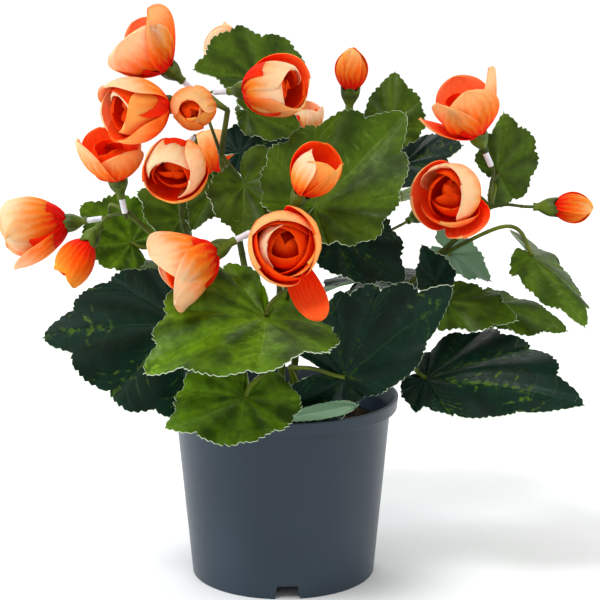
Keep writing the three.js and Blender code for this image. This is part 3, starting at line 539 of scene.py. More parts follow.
# ---------------------------------------------------------------- finishes
@dataclass(frozen=True)
class PlasticFinish:
    """Moulded plastic with a fine grain.

    Attributes:
        name: The material's name.
        colour: Main colour.
        shade: Colour of its darker patches.
        roughness: Roughness of the surface.
        patch_scale: Scale of the patches, per metre.
        grain_scale: Scale of the grain, per metre.
        grain_depth: Depth of the grain in metres.
        translucence: Weight of the light that passes under the surface.
        shine: Specular level.
    """

    name: str
    colour: Colour
    shade: Colour
    roughness: float
    patch_scale: float
    grain_scale: float
    grain_depth: float
    translucence: float = 0.0
    shine: float = 0.5

    def material(self) -> bpy.types.Material:
        """The finish as a material.

        Returns:
            The material.
        """
        shader = Shader(self.name)
        place = shader.place()
        patches = shader.ramp(shader.noise(place, self.patch_scale), 0.35, 0.65)
        grain = shader.noise(place, self.grain_scale, 4.0)
        rough = shader.ramp(grain, 0.2, 0.8, self.roughness - 0.06, self.roughness + 0.06)
        return shader.finish({
            "Base Color": shader.mix(patches, self.shade, self.colour),
            "Roughness": rough,
            "Specular IOR Level": self.shine,
            "Subsurface Weight": self.translucence,
            "Subsurface Radius": (0.002, 0.002, 0.001),
            "Subsurface Scale": 1.0,
            "Normal": shader.bump(grain, self.grain_depth)})


@dataclass(frozen=True)
class FillFinish:
    """Coarse dark fibre and crumbs.

    Attributes:
        name: The material's name.
        dark: Colour between the crumbs.
        light: Colour on top of them.
        crumb_scale: Scale of the crumbs, per metre.
        fibre_scale: Scale of the fibre, per metre.
        roughness: Roughness of the surface.
        depth: Depth of crumbs and fibre in metres.
    """

    name: str = "fill fibre"
    dark: Colour = srgb(24, 17, 12)
    light: Colour = srgb(88, 66, 46)
    crumb_scale: float = 240.0
    fibre_scale: float = 1500.0
    roughness: float = 0.95
    depth: float = 0.0012

    def material(self) -> bpy.types.Material:
        """The finish as a material.

        Returns:
            The material.
        """
        shader = Shader(self.name)
        place = shader.place()
        crumbs = shader.noise(place, self.crumb_scale, 3.0)
        fibre = shader.noise(place, self.fibre_scale, 4.0)
        height = shader.maths("MULTIPLY", crumbs, fibre)
        return shader.finish({
            "Base Color": shader.mix(shader.ramp(height, 0.12, 0.45), self.dark, self.light),
            "Roughness": self.roughness,
            "Normal": shader.bump(height, self.depth)})


@dataclass(frozen=True)
class VeinPattern:
    """Palmate veins over a blade: u runs round it from the midrib (0) to the slit (1 or -1).

    Attributes:
        pitch: Distance between main veins, in u.
        branch_count: Number of side branches along a main vein.
        branch_slope: How far a side branch runs out for its distance from the vein.
        fold: Height of the blade between the veins.
        crease: Depth of the crease along a vein.
        crease_width: Half-width of that crease.
        ripple: Height of the ripples that follow the side branches.
        main_line: Distances from a main vein between which its print ends.
        side_line: Distance from a side branch, over their spacing, at which its print ends.
        wander: How far the print strays, in u and in t.
    """

    pitch: float = 0.23
    branch_count: float = 7.0
    branch_slope: float = 4.2
    fold: float = 0.076
    crease: float = 0.026
    crease_width: float = 0.04
    ripple: float = 0.0022
    main_line: Pair = (0.002, 0.011)
    side_line: float = 0.06
    wander: Pair = (0.06, 0.16)

    def relief(self, u: np.ndarray, t: np.ndarray) -> np.ndarray:
        """Height of the quilted blade, over leaf length.

        Args:
            u: Place round the blade.
            t: Place from the base (0) to the edge (1).

        Returns:
            The height above the plain blade.
        """
        sector = np.abs(u) / self.pitch
        near = sector - np.round(sector)
        fold = 0.5 - 0.5 * np.cos(math.tau * near)
        branch = self.branch_count * t - self.branch_slope * np.abs(near)
        crease = np.exp(-(near * t / self.crease_width) ** 2)
        ripple = np.cos(math.tau * branch) * smoothstep(np.abs(near), 0.03, 0.15)
        uneven = 0.75 + 0.25 * np.sin(7.0 * u + 1.3)
        quilt = (self.fold * uneven * fold - self.crease * crease) * t * (1 - 0.45 * t)
        return quilt + self.ripple * ripple * t * (1 - t * t)

    def mask(self, shader: Shader) -> tuple[bpy.types.NodeSocket, ...]:
        """The veins as shader nodes.

        Args:
            shader: The material that they go into.

        Returns:
            The thin veins, the broken streaks beside them and the painted fold shade between them, each
            0 to 1.
        """
        u, t = shader.sheet_place()
        place = shader.place()
        drift = shader.maths("SUBTRACT", shader.noise(place, 70.0), 0.5)
        u = shader.maths("MULTIPLY_ADD", drift, self.wander[0], u)
        t_drift = shader.maths("MULTIPLY_ADD", drift, self.wander[1], t)
        sector = shader.maths("DIVIDE", shader.maths("ABSOLUTE", u), self.pitch)
        near = shader.maths("ABSOLUTE", shader.maths("SUBTRACT", sector, shader.maths("ROUND", sector)))
        away = shader.maths("MULTIPLY", near, t)
        line = shader.ramp(away, *self.main_line, 1.0, 0.0)
        main = shader.maths("MULTIPLY", line, shader.ramp(t, 0.5, 1.0, 1.0, 0.2))
        slant = shader.maths("MULTIPLY", near, -self.branch_slope)
        branch = shader.maths("FRACT", shader.maths("MULTIPLY_ADD", t_drift, self.branch_count, slant))
        offset = shader.maths("ABSOLUTE", shader.maths("SUBTRACT", branch, 0.5))
        inside = shader.ramp(near, 0.20, 0.42, 1.0, 0.0)
        side = shader.maths("MULTIPLY", shader.ramp(offset, 0.0, self.side_line, 0.4, 0.0), inside)
        wide = shader.maths("MULTIPLY", shader.ramp(offset, 0.03, 0.16, 1.0, 0.0), inside)
        along = shader.ramp(away, 0.0, 0.05, 1.0, 0.0)
        broken = shader.ramp(shader.noise(place, 300.0, 3.0), 0.47, 0.58)
        region = shader.ramp(shader.noise(place, 30.0, 1.0), 0.46, 0.60)
        region = shader.maths("MULTIPLY", region, shader.ramp(sector, 0.7, 1.5, 1.0, 0.35))
        streaks = shader.maths("MULTIPLY", shader.maths("MAXIMUM", wide, along), broken)
        streaks = shader.maths("MULTIPLY", streaks, region)
        # Painted fold shade: 0 on the veins and near the base, rising to 1 between the veins. It stands
        # in for the shading of the quilted folds.
        fold_shade = shader.maths("MULTIPLY", shader.ramp(near, 0.06, 0.44), shader.ramp(t, 0.0, 0.35))
        return shader.maths("MAXIMUM", main, side), streaks, fold_shade


@dataclass(frozen=True)
class LeafFinish:
    """Printed and pressed leaf fabric.

    Attributes:
        name: The material's name.
        deep: Colour of the darker patches and of the painted fold shade between the veins.
        bright: Colour of the lighter patches and of the blade near the veins, outside the painted fold
            shade.
        vein: Colour of the thin veins.
        vein_share: How strongly they are printed.
        streak: Colour of the broken streaks beside the veins.
        streak_share: How strongly these are printed.
        underside: Colour of the lower side.
        margin: Colour of the cut edge.
        gloss: Roughness of the surface.
        shine: Its specular level.
        patch_scale: Scale of the darker patches, per metre.
        fleck_scale: Scale of the flecks in them, per metre.
        weave_scale: Scale of the weave, per metre.
        weave_depth: Depth of veins and weave in metres.
    """

    name: str
    deep: Colour
    bright: Colour
    vein: Colour
    vein_share: float
    streak: Colour
    streak_share: float
    underside: Colour = srgb(116, 150, 118)
    margin: Colour = srgb(186, 202, 170)
    gloss: float = 0.36
    shine: float = 0.1
    patch_scale: float = 110.0
    fleck_scale: float = 330.0
    weave_scale: float = 2600.0
    weave_depth: float = 0.0003

    def material(self) -> bpy.types.Material:
        """The finish as a material.

        Returns:
            The material.
        """
        shader = Shader(self.name)
        place = shader.place()
        veins, streaks, fold_shade = VeinPattern().mask(shader)
        patches = shader.ramp(shader.noise(place, self.patch_scale, 5.0), 0.3, 0.7, 0.1, 0.45)
        flecks = shader.ramp(shader.noise(place, self.fleck_scale, 4.0), 0.35, 0.65)
        weave = shader.noise(place, self.weave_scale, 2.0)
        # Painted fold shade between the veins, added to random darker patches, blends the bright colour
        # towards the deep one.
        dark = shader.ramp(shader.maths("MULTIPLY_ADD", fold_shade, 0.35, patches), 0.0, 1.0)
        blade = shader.mix(dark, self.bright, self.deep)
        blade = shader.mix(shader.maths("MULTIPLY", flecks, 0.3), blade, self.deep)
        blade = shader.mix(shader.maths("MULTIPLY", streaks, self.streak_share), blade, self.streak)
        blade = shader.mix(shader.maths("MULTIPLY", veins, self.vein_share), blade, self.vein)
        below = shader.mix(shader.maths("MULTIPLY", veins, 0.35), self.underside, self.margin)
        sides = shader.mix(shader.attribute("under"), blade, below)
        edge = shader.ramp(shader.attribute("margin"), 0.3, 0.9)
        height = shader.maths("MULTIPLY_ADD", veins, -0.6, shader.maths("MULTIPLY", weave, 0.2))
        return shader.finish({
            "Base Color": shader.mix(edge, sides, self.margin),
            "Roughness": shader.ramp(flecks, 0.0, 1.0, self.gloss - 0.05, self.gloss + 0.08),
            "Specular IOR Level": self.shine,
            "Normal": shader.bump(height, self.weave_depth)})


@dataclass(frozen=True)
class PetalFinish:
    """Dyed petal fabric: red-orange at the root, paler to the tip, with fine pleats.

    Attributes:
        name: The material's name.
        tip: Colour of the outside's tip.
        pale_tip: Colour of a faded petal's tip.
        middle: Colour of the outside's middle.
        pale_middle: Colour of a faded petal's middle.
        root: Colour of the outside's root.
        inner: Colour of the inside, and of the petals in the heart.
        inner_root: Colour of its root.
        inner_tip: Colour of its tip.
        pleat_count: Number of printed pleats across a petal.
        cloud_scale: Scale at which the colours wander, per metre.
        weave_scale: Scale of the weave, per metre.
        weave_depth: Depth of pleats and weave in metres.
        shine: Specular level.
        glow: Weight of the light that passes through the fabric.
        glow_reach: How far its red, green and blue get, in metres.
    """

    name: str = "petal fabric"
    tip: Colour = srgb(255, 148, 46)
    pale_tip: Colour = srgb(255, 204, 166)
    middle: Colour = srgb(255, 88, 2)
    pale_middle: Colour = srgb(255, 136, 36)
    root: Colour = srgb(252, 22, 0)
    inner: Colour = srgb(252, 40, 0)
    inner_root: Colour = srgb(238, 8, 0)
    inner_tip: Colour = srgb(255, 70, 0)
    pleat_count: float = 7.0
    cloud_scale: float = 120.0
    weave_scale: float = 3200.0
    weave_depth: float = 0.0003
    shine: float = 0.06
    glow: float = 0.4
    glow_reach: Triple = (0.006, 0.0012, 0.0002)

    def material(self) -> bpy.types.Material:
        """The finish as a material.

        Returns:
            The material.
        """
        shader = Shader(self.name)
        place = shader.place()
        across, along = shader.sheet_place()
        drift = shader.noise(place, self.cloud_scale)
        paleness = shader.attribute("paleness")
        bend = shader.maths("MULTIPLY_ADD", drift, 0.5, across)
        pleats = shader.maths("SINE", shader.maths("MULTIPLY", bend, self.pleat_count * math.pi))
        fold = shader.maths("MULTIPLY", pleats, shader.ramp(along, 0.3, 1.0, 1.0, 0.2))
        uneven = shader.maths("MULTIPLY", shader.maths("SUBTRACT", drift, 0.5), 0.25)
        height = shader.maths("ADD", along, shader.maths("MULTIPLY_ADD", fold, 0.07, uneven))
        height = shader.maths("MULTIPLY_ADD", paleness, 0.08, height)
        tip = shader.mix(paleness, self.tip, self.pale_tip)
        middle = shader.mix(paleness, self.middle, self.pale_middle)
        outer = shader.mix(shader.ramp(height, 0.18, 0.60), self.root, middle)
        outer = shader.mix(shader.ramp(height, 0.50, 1.0), outer, tip)
        inner = shader.mix(shader.ramp(height, 0.15, 0.70), self.inner_root, self.inner)
        inner = shader.mix(shader.ramp(height, 0.60, 1.05), inner, self.inner_tip)
        faded = shader.ramp(paleness, 0.0, 1.0, 1.0, 0.2)
        inside = shader.maths("MULTIPLY", shader.attribute("under"), faded)
        inside = shader.maths("MAXIMUM", inside, shader.attribute("redness"))
        weave = shader.noise(place, self.weave_scale, 2.0)
        bump = shader.maths("MULTIPLY_ADD", weave, 0.15, shader.maths("MULTIPLY", fold, 0.5))
        return shader.finish({
            "Base Color": shader.mix(inside, outer, inner),
            "Roughness": shader.ramp(weave, 0.2, 0.8, 0.66, 0.80),
            "Specular IOR Level": self.shine,
            "Subsurface Weight": self.glow,
            "Subsurface Radius": self.glow_reach,
            "Subsurface Scale": 1.0,
            "Normal": shader.bump(bump, self.weave_depth)})


POT_FINISH = PlasticFinish(
    "pot plastic", srgb(42, 55, 67), srgb(38, 51, 62), 0.36, 18.0, 900.0, 0.00004, shine=0.3)
STEM_FINISH = PlasticFinish(
    "stem plastic", srgb(96, 110, 20), srgb(56, 68, 10), 0.46, 60.0, 700.0, 0.00025, shine=0.2)
CALYX_FINISH = PlasticFinish(
    "calyx plastic", srgb(86, 108, 24), srgb(46, 62, 10), 0.42, 130.0, 500.0, 0.0003, shine=0.2)
SLEEVE_FINISH = PlasticFinish(
    "sleeve plastic", srgb(226, 228, 234), srgb(206, 212, 222), 0.30, 200.0, 600.0, 0.00005, 0.4)


class Tone(Enum):
    """The leaf fabrics, each with its slot in the record."""

    BRIGHT = "leaf_bright"
    MID = "leaf_mid"
    DARK = "leaf_dark"

    def finish(self) -> LeafFinish:
        """The fabric's finish.

        Returns:
            The finish with this fabric's colours.
        """
        return {
            Tone.BRIGHT: LeafFinish(
                "bright leaf fabric", srgb(26, 46, 0), srgb(94, 132, 14), srgb(140, 164, 60), 0.25,
                srgb(132, 164, 40), 0.5),
            Tone.MID: LeafFinish(
                "mid leaf fabric", srgb(34, 52, 2), srgb(76, 104, 14), srgb(112, 138, 50), 0.22,
                srgb(100, 132, 40), 0.35),
            Tone.DARK: LeafFinish(
                "dark leaf fabric", srgb(6, 24, 14), srgb(17, 46, 33), srgb(46, 80, 46), 0.35,
                srgb(88, 118, 14), 0.6),
        }[self]


# ---------------------------------------------------------------- leaves
@dataclass(frozen=True)
class Leaf:
    """One leaf, between base, where its petiole meets it, and tip.

    Attributes:
        name: The CAD node's name.
        tone: Its fabric.
        base: Where the petiole meets it.
        tip: Its tip.
        face: Where its upper side looks.
        width: How wide its left and right halves are.
        back: How far they reach back.
        slit: Angle from the tip, round the left, to the slit, in degrees.
        bend: Its droop along the midrib, in degrees.
        fold: How far its halves are lifted, in degrees.
        wave: Rise and fall of its edge, over its length.
        over: Whether the petiole comes in on the upper side.
    """

    name: str
    tone: Tone
    base: Triple
    tip: Triple
    face: Triple
    width: Pair
    back: Pair
    slit: float
    bend: float
    fold: float
    wave: float
    over: bool = False

    @property
    def length(self) -> float:
        """Distance from base to tip."""
        return math.dist(self.base, self.tip)

    def local(self, across: np.ndarray, along: np.ndarray, lift: np.ndarray) -> np.ndarray:
        """Bends and folds points of the flat leaf of length 1.

        Args:
            across: Distance to the left of the midrib.
            along: Distance towards the tip.
            lift: Height of the point above the plain blade.

        Returns:
            The points, with +X to the tip, +Y to the left and +Z up.
        """
        fold = math.radians(self.fold)
        bend = math.radians(self.bend) or 1e-6
        rise = (np.hypot(across, FOLD_SOFTNESS) - FOLD_SOFTNESS) * math.sin(fold) + lift
        turn = bend * along
        x = np.sin(turn) / bend + rise * np.sin(turn)
        z = rise * np.cos(turn) - (1 - np.cos(turn)) / bend
        return np.stack([x, across * math.cos(fold), z], -1)

    def frame(self) -> np.ndarray:
        """Matrix that turns and scales the leaf of length 1 to its place, round its base.

        Returns:
            The matrix, its columns the leaf's own axes.
        """
        tip = self.local(np.array(0.0), np.array(1.0), np.array(0.0))
        ahead = unit(np.subtract(self.tip, self.base))
        up = np.array(self.face, float)
        up = unit(up - ahead * up.dot(ahead))
        left = np.cross(up, ahead)
        pitch = math.atan2(tip[2], tip[0])
        turn = np.array([
            [math.cos(pitch), 0, math.sin(pitch)],
            [0, 1, 0],
            [-math.sin(pitch), 0, math.cos(pitch)]])
        return np.stack([ahead, left, up], 1) @ turn * (self.length / np.linalg.norm(tip))


@dataclass
class Foliage:
    """All the leaves and how each is cut.

    Attributes:
        leaves: The leaves.
        flap: A narrow edge of one leaf, turned over so that its pale side shows.
        flap_owner: The name of that leaf.
        outline: Radius of half a leaf over its length, from the tip (0) to the slit (1).
        width_from: Place from which a half is as wide as its leaf asks.
        back_from: Places between which it starts to reach back as far as its leaf asks.
        lobes_per_half: Fewest and most of the shallow lobes of a half.
        lobe_spacing: Length of leaf for each of them.
        lobe_depth: Their depth, over the radius.
        wave_count: Slow waves of the edge.
        curl_count: Quick ones.
        curl_share: Their height over that of the slow ones.
        edge_points: Places at which a half's edge is measured for its teeth.
        tooth_pitch: Distance between teeth.
        tooth_depth: Depth of a tooth.
        tooth_shape: Places along one tooth, each with the share of its depth there.
        thickness: Thickness of the fabric.
        margin_width: Width of the pale cut edge.
        rings: Rings of points between base and edge.
        slit_gap: Share of a half left open at the slit.
        veins: The veins.
    """

    leaves: tuple[Leaf, ...]
    flap: Leaf
    flap_owner: str = "leaf_front_right"
    outline: tuple[Pair, ...] = (
        (0, 1), (0.07, 0.86), (0.18, 0.74), (0.34, 0.62), (0.52, 0.55), (0.72, 0.52),
        (0.9, 0.44), (1, 0.06))
    width_from: float = 0.34
    back_from: Pair = (0.4, 0.75)
    lobes_per_half: Pair = (5, 7)
    lobe_spacing: float = 10.0
    lobe_depth: float = 0.075
    wave_count: int = 5
    curl_count: int = 13
    curl_share: float = 0.35
    edge_points: int = 500
    tooth_pitch: float = 3.3
    tooth_depth: float = 1.5
    tooth_shape: tuple[Pair, ...] = ((0.0, 0.0), (0.2, 0.95), (0.45, 0.62), (0.75, 0.24))
    thickness: float = 0.45
    margin_width: float = 0.45
    rings: int = 16
    slit_gap: float = 0.012
    veins: VeinPattern = VeinPattern()

    def radius(self, leaf: Leaf, half: int, s: np.ndarray) -> np.ndarray:
        """Radius of a half's plain outline.

        Args:
            leaf: The leaf.
            half: 0 for its left half, 1 for its right.
            s: Places from the tip (0) to the slit (1).

        Returns:
            The radius at each place, over leaf length.
        """
        places, radii = zip(*self.outline)
        plain = np.interp(s, places, radii)
        widen = np.minimum(1, s / self.width_from)
        return plain * leaf.width[half] ** widen * leaf.back[half] ** smoothstep(s, *self.back_from)

    def half_edge(self, leaf: Leaf, half: int) -> tuple[np.ndarray, np.ndarray, np.ndarray]:
        """Cuts the teeth of one half.

        Args:
            leaf: The leaf.
            half: 0 for its left half, 1 for its right.

        Returns:
            Places along the half, its plain radius there, and the depth of the cut.
        """
        fine = np.linspace(0, 1 - self.slit_gap, self.edge_points)
        span = math.radians(leaf.slit - 360 * half)
        plain = self.radius(leaf, half, fine)
        line = np.stack([plain * np.cos(span * fine), plain * np.sin(span * fine)], 1) * leaf.length
        travel = np.concatenate([[0], np.cumsum(np.linalg.norm(np.diff(line, axis=0), axis=1))])
        teeth = max(8, round(travel[-1] / self.tooth_pitch))
        number = np.arange(teeth)
        uneven = 0.7 + 0.3 * np.sin(2.4 * number + leaf.length) + 0.25 * np.sin(5.1 * number)
        steps, depths = (np.array(values) for values in zip(*self.tooth_shape))
        starts = number[:, None] + steps
        places = np.interp(np.append(starts.ravel(), teeth) / teeth * travel[-1], travel, fine)
        cut = depths * uneven[:, None]
        cut = np.append(cut.ravel(), 0.0) * self.tooth_depth / leaf.length
        return places, self.radius(leaf, half, places), cut

    def blade(self, leaf: Leaf) -> Sheet:
        """One blade: a fan of rings from the base to the toothed edge.

        Args:
            leaf: The leaf.

        Returns:
            The blade as a closed sheet.
        """
        lobes = float(np.clip(round(leaf.length / self.lobe_spacing) + 2, *self.lobes_per_half))
        left, right = self.half_edge(leaf, 0), self.half_edge(leaf, 1)
        s = np.concatenate([right[0][::-1], left[0][1:]])
        plain = np.concatenate([right[1][::-1], left[1][1:]])
        cut = np.concatenate([right[2][::-1], left[2][1:]])
        is_left = np.concatenate([np.zeros(len(right[0])), np.ones(len(left[0]) - 1)])
        span = np.where(is_left > 0, math.radians(leaf.slit), math.radians(leaf.slit - 360))
        u = np.where(is_left > 0, s, -s)
        rings = np.append(np.linspace(0, 1, self.rings) ** 0.9, 1 - self.margin_width / leaf.length)
        rings = np.sort(rings)[:, None]
        lobe = self.lobe_depth * (1 - np.abs(np.cos(math.pi * lobes * s)) ** 0.8)
        lobed = plain * (1 - lobe * smoothstep(rings, 0.3, 1.0))
        radius = rings * (lobed - cut * smoothstep(rings, 0.93, 1.0))
        angle = np.broadcast_to(span * s, radius.shape)
        u_all = np.broadcast_to(u, radius.shape)
        t_all = np.broadcast_to(rings, radius.shape)
        phase = float(np.sum(leaf.base)) % math.tau
        lift = leaf.wave * t_all ** 2 * np.sin(self.wave_count * angle)
        lift += self.curl_share * leaf.wave * t_all ** 3 * np.sin(self.curl_count * angle + phase)
        lift += self.veins.relief(u_all, t_all)
        local = leaf.local(radius * np.sin(angle), radius * np.cos(angle), lift)
        points = local.reshape(-1, 3) @ leaf.frame().T + np.array(leaf.base)
        marks = {"margin": (t_all >= 1).astype(float).ravel()}
        places = np.stack([u_all.ravel(), t_all.ravel()], 1)
        fan = Sheet(points, grid_faces(len(rings), len(s)), places, marks)
        return self.hubbed(fan, len(s)).thickened(self.thickness)

    @staticmethod
    def hubbed(sheet: Sheet, columns: int) -> Sheet:
        """Makes one point of the first row, which lies all at the base.

        Args:
            sheet: The fan of rings.
            columns: Number of points in a ring.

        Returns:
            The fan with one middle point and its faces turned up.
        """
        faces: list[tuple[int, ...]] = []
        for a, b, c, d in sheet.faces:
            if a < columns - 1:
                faces.append((0, d - columns + 1, c - columns + 1))
            else:
                faces.append(tuple(corner - columns + 1 for corner in (a, d, c, b)))
        keep_rows = np.r_[0, columns:len(sheet.points)]
        marks = {name: values[keep_rows] for name, values in sheet.marks.items()}
        return Sheet(sheet.points[keep_rows], faces, sheet.places[keep_rows], marks)

    def build(self) -> None:
        """Builds and dresses every leaf."""
        finishes = {tone: tone.finish().material() for tone in Tone}
        for leaf in self.leaves:
            blades = [self.blade(leaf)]
            if leaf.name == self.flap_owner:
                blades.append(self.blade(self.flap))
            piece = make_piece(leaf.name + "_blade", joined(blades), finishes[leaf.tone])
            keep(piece, leaf.tone.value, leaf.name)


# ---------------------------------------------------------------- blooms
@dataclass(frozen=True)
class Petal:
    """One petal of a bloom.

    Attributes:
        toward: World direction that it leaves the bloom's axis in.
        length: Its length over the bloom's size.
        width: Its width, 1 for a broad one.
        start: Lean from the axis at its root, in radians.
        end: Lean at its tip, below 0 where it closes over the heart.
        wrap: How closely its sides follow the round of the bloom, below 1 for a flatter petal.
        paleness: How far its outside has faded, from 0 to 1.
        redness: How red it is all over, from 0 to 1.
        pointed: How pointed its tip is, from 0 to 1.
        root: Distance of its root from the axis, in millimetres.
        hand: 1 or -1, for the side on which it lies over its neighbour.
    """

    toward: Triple
    length: float = 1.0
    width: float = 1.0
    start: float = 1.2
    end: float = -0.1
    wrap: float = 1.0
    paleness: float = 0.3
    redness: float = 0.0
    pointed: float = 0.15
    root: float = 1.5
    hand: int = 1


@dataclass(frozen=True)
class Whorl:
    """Like petals round a bloom's axis.

    Attributes:
        petal: The petal that they are like.
        count: How many there are.
        twist: Angle of the first one, in degrees.
        uneven: How far their lengths and angles stray.
    """

    petal: Petal
    count: int
    twist: float = 0.0
    uneven: float = 0.1

    def placed(self) -> list[tuple[Petal, float]]:
        """Each petal, a little longer or shorter than the next, with its angle.

        Returns:
            Pairs of a petal and its angle in radians.
        """
        found = []
        for k in range(self.count):
            stray = self.uneven * math.sin(2.1 * k + self.twist)
            turn = math.radians(self.twist) + math.tau * k / self.count + stray
            found.append((replace(self.petal, length=self.petal.length * (1 + stray)), turn))
        return found


@dataclass(frozen=True)
class Bloom:
    """One bloom or bud, on its calyx at base and opening along axis.

    Attributes:
        name: The CAD node's name.
        base: Where it sits.
        axis: Where it looks.
        size: Length of its outer petals.
        petals: Petals that each have a place of their own.
        whorls: Its other petals, from the outside in.
        sleeved: Whether its calyx stands on a white sleeve.
    """

    name: str
    base: Triple
    axis: Triple
    size: float
    petals: tuple[Petal, ...] = ()
    whorls: tuple[Whorl, ...] = ()
    sleeved: bool = True

    def turn(self) -> np.ndarray:
        """Matrix that turns +Z to the bloom's axis."""
        return np.array(Vector((0, 0, 1)).rotation_difference(Vector(self.axis)).to_matrix())

    def placed(self) -> list[tuple[Petal, float]]:
        """Every petal with its angle round the axis.

        Returns:
            Pairs of a petal and its angle in radians, from the outside in.
        """
        found = []
        for petal in self.petals:
            ahead = np.array(petal.toward) @ self.turn()
            found.append((petal, math.atan2(ahead[1], ahead[0])))
        for whorl in self.whorls:
            found += whorl.placed()
        return found


@dataclass
class Blossom:
    """All the blooms and buds and the rules for their petals.

    Attributes:
        blooms: The blooms and buds.
        heart_radius: Radius of the core that the roots hold.
        seat: Height of the petals' roots over the calyx.
        skew: How far a petal's one side stands over the other, so that neighbours overlap.
        most_curl: Largest half-angle that a petal takes round the axis.
        gathering: Power that gathers the rows of points towards the tip.
        root_width: Half-width of a petal's root, over its length.
        full_width: Half-width of its middle.
        ruffle: Height of the slow waves along its rim.
        crinkle: Height of the quick ones.
        pleat: Height of the pleats near its root.
        pleat_count: How many pleats cross a petal.
        thickness: Thickness of the fabric.
        rows: Points along a petal.
        columns: Points across it.
    """

    blooms: tuple[Bloom, ...]
    heart_radius: float = 2.2
    seat: float = 1.0
    skew: float = 3.2
    most_curl: float = 2.2
    gathering: float = 1.7
    root_width: float = 0.06
    full_width: float = 0.78
    ruffle: float = 0.03
    crinkle: float = 0.009
    pleat: float = 0.005
    pleat_count: int = 4
    thickness: float = 0.35
    rows: int = 22
    columns: int = 21

    def petal(self, petal: Petal, turn: float, index: int, size: float) -> Sheet:
        """One cupped petal in the bloom's own frame, with the axis along +Z.

        Args:
            petal: The petal.
            turn: Its angle round the axis.
            index: Its number in the bloom.
            size: The bloom's size.

        Returns:
            The petal as a closed sheet.
        """
        phase = 2.3 * index + size
        length = size * petal.length
        s = 1 - (1 - np.linspace(0, 1, self.rows)[:, None]) ** self.gathering
        x = np.linspace(-1, 1, self.columns)[None, :]
        change = petal.end - petal.start
        lean = petal.start + change * s
        r = petal.root + length * (math.cos(petal.start) - np.cos(lean)) / change
        z = length * (np.sin(lean) - math.sin(petal.start)) / change
        swell = s ** 0.7 * (1 - s ** (2.8 - petal.pointed)) ** (0.5 + 0.3 * petal.pointed)
        full = self.full_width + 0.15 * petal.pointed
        half = petal.width * (self.root_width * (1 - s) + full * swell + 0.002) * length
        curl = np.minimum(petal.wrap * half / (np.maximum(r, 0) + 0.5), self.most_curl)
        bow = curl * x
        inward = (1 - np.cos(bow)) / curl * half
        ruffle = self.ruffle * length * s ** 3 * np.abs(x) ** 1.6 * np.sin(5.2 * x + phase)
        crinkle = self.crinkle * length * s ** 3 * (1 - s ** 8) * np.sin(13 * x + 1.7 * phase)
        pleats = np.cos(self.pleat_count * math.tau * x + phase)
        pleat = self.pleat * length * (1 - 0.8 * s) * s ** 0.5 * pleats
        out = ruffle + crinkle + pleat
        radial = r - inward + petal.hand * self.skew * swell * x + out * np.cos(lean)
        side = np.sin(bow) / curl * half
        height = z - out * np.sin(lean)
        points = np.stack([
            radial * math.cos(turn) - side * math.sin(turn),
            radial * math.sin(turn) + side * math.cos(turn),
            np.broadcast_to(height, radial.shape)], -1).reshape(-1, 3)
        places = np.stack([np.broadcast_to(x, radial.shape), np.broadcast_to(s, radial.shape)], -1)
        count = self.rows * self.columns
        marks = {"redness": np.full(count, petal.redness), "paleness": np.full(count, petal.paleness)}
        sheet = Sheet(points, grid_faces(self.rows, self.columns), places.reshape(-1, 2), marks)
        return sheet.thickened(self.thickness)

    def heart(self) -> Sheet:
        """The small core that the petals' roots hold.

        Returns:
            The core as a closed sheet, in the bloom's own frame.
        """
        size = self.heart_radius
        bulge = [(size * math.sin(angle), 1.0 - size * math.cos(angle))
                 for angle in np.linspace(0.9, 2.8, 7)]
        core = turned([(0.0, -0.7), *bulge, (0.0, 1.0 + size)], 16)
        count = len(core.points)
        core.marks = {"redness": np.ones(count), "paleness": np.zeros(count), "under": np.ones(count)}
        return core

    def build(self) -> None:
        """Builds and dresses every bloom."""
        finish = PetalFinish().material()
        for bloom in self.blooms:
            petals = [self.petal(petal, turn, k, bloom.size)
                      for k, (petal, turn) in enumerate(bloom.placed())]
            whole = joined([*petals, self.heart()])
            lift = np.array(Vector(bloom.axis).normalized()) * self.seat
            whole.points = whole.points @ bloom.turn().T + np.array(bloom.base) + lift
            keep(make_piece(bloom.name + "_petals", whole, finish), "petal", bloom.name)


# ---------------------------------------------------------------- stalks
@dataclass(frozen=True)
class Branch:
    """A stem that leaves a stalk's path at a point, for the leaf or bloom that it names.

    Attributes:
        start: Index of the point in its stalk's path.
        via: Points that it passes.
        to: Name of the leaf or bloom at its end.
    """

    start: int
    via: tuple[Triple, ...]
    to: str


@dataclass(frozen=True)
class Stalk:
    """A stalk from its foot in the fill, with its branches.

    Attributes:
        name: The CAD node's name.
        path: Its points, the first one in the fill.
        branches: The stems that leave it.
    """

    name: str
    path: tuple[Triple, ...]
    branches: tuple[Branch, ...]


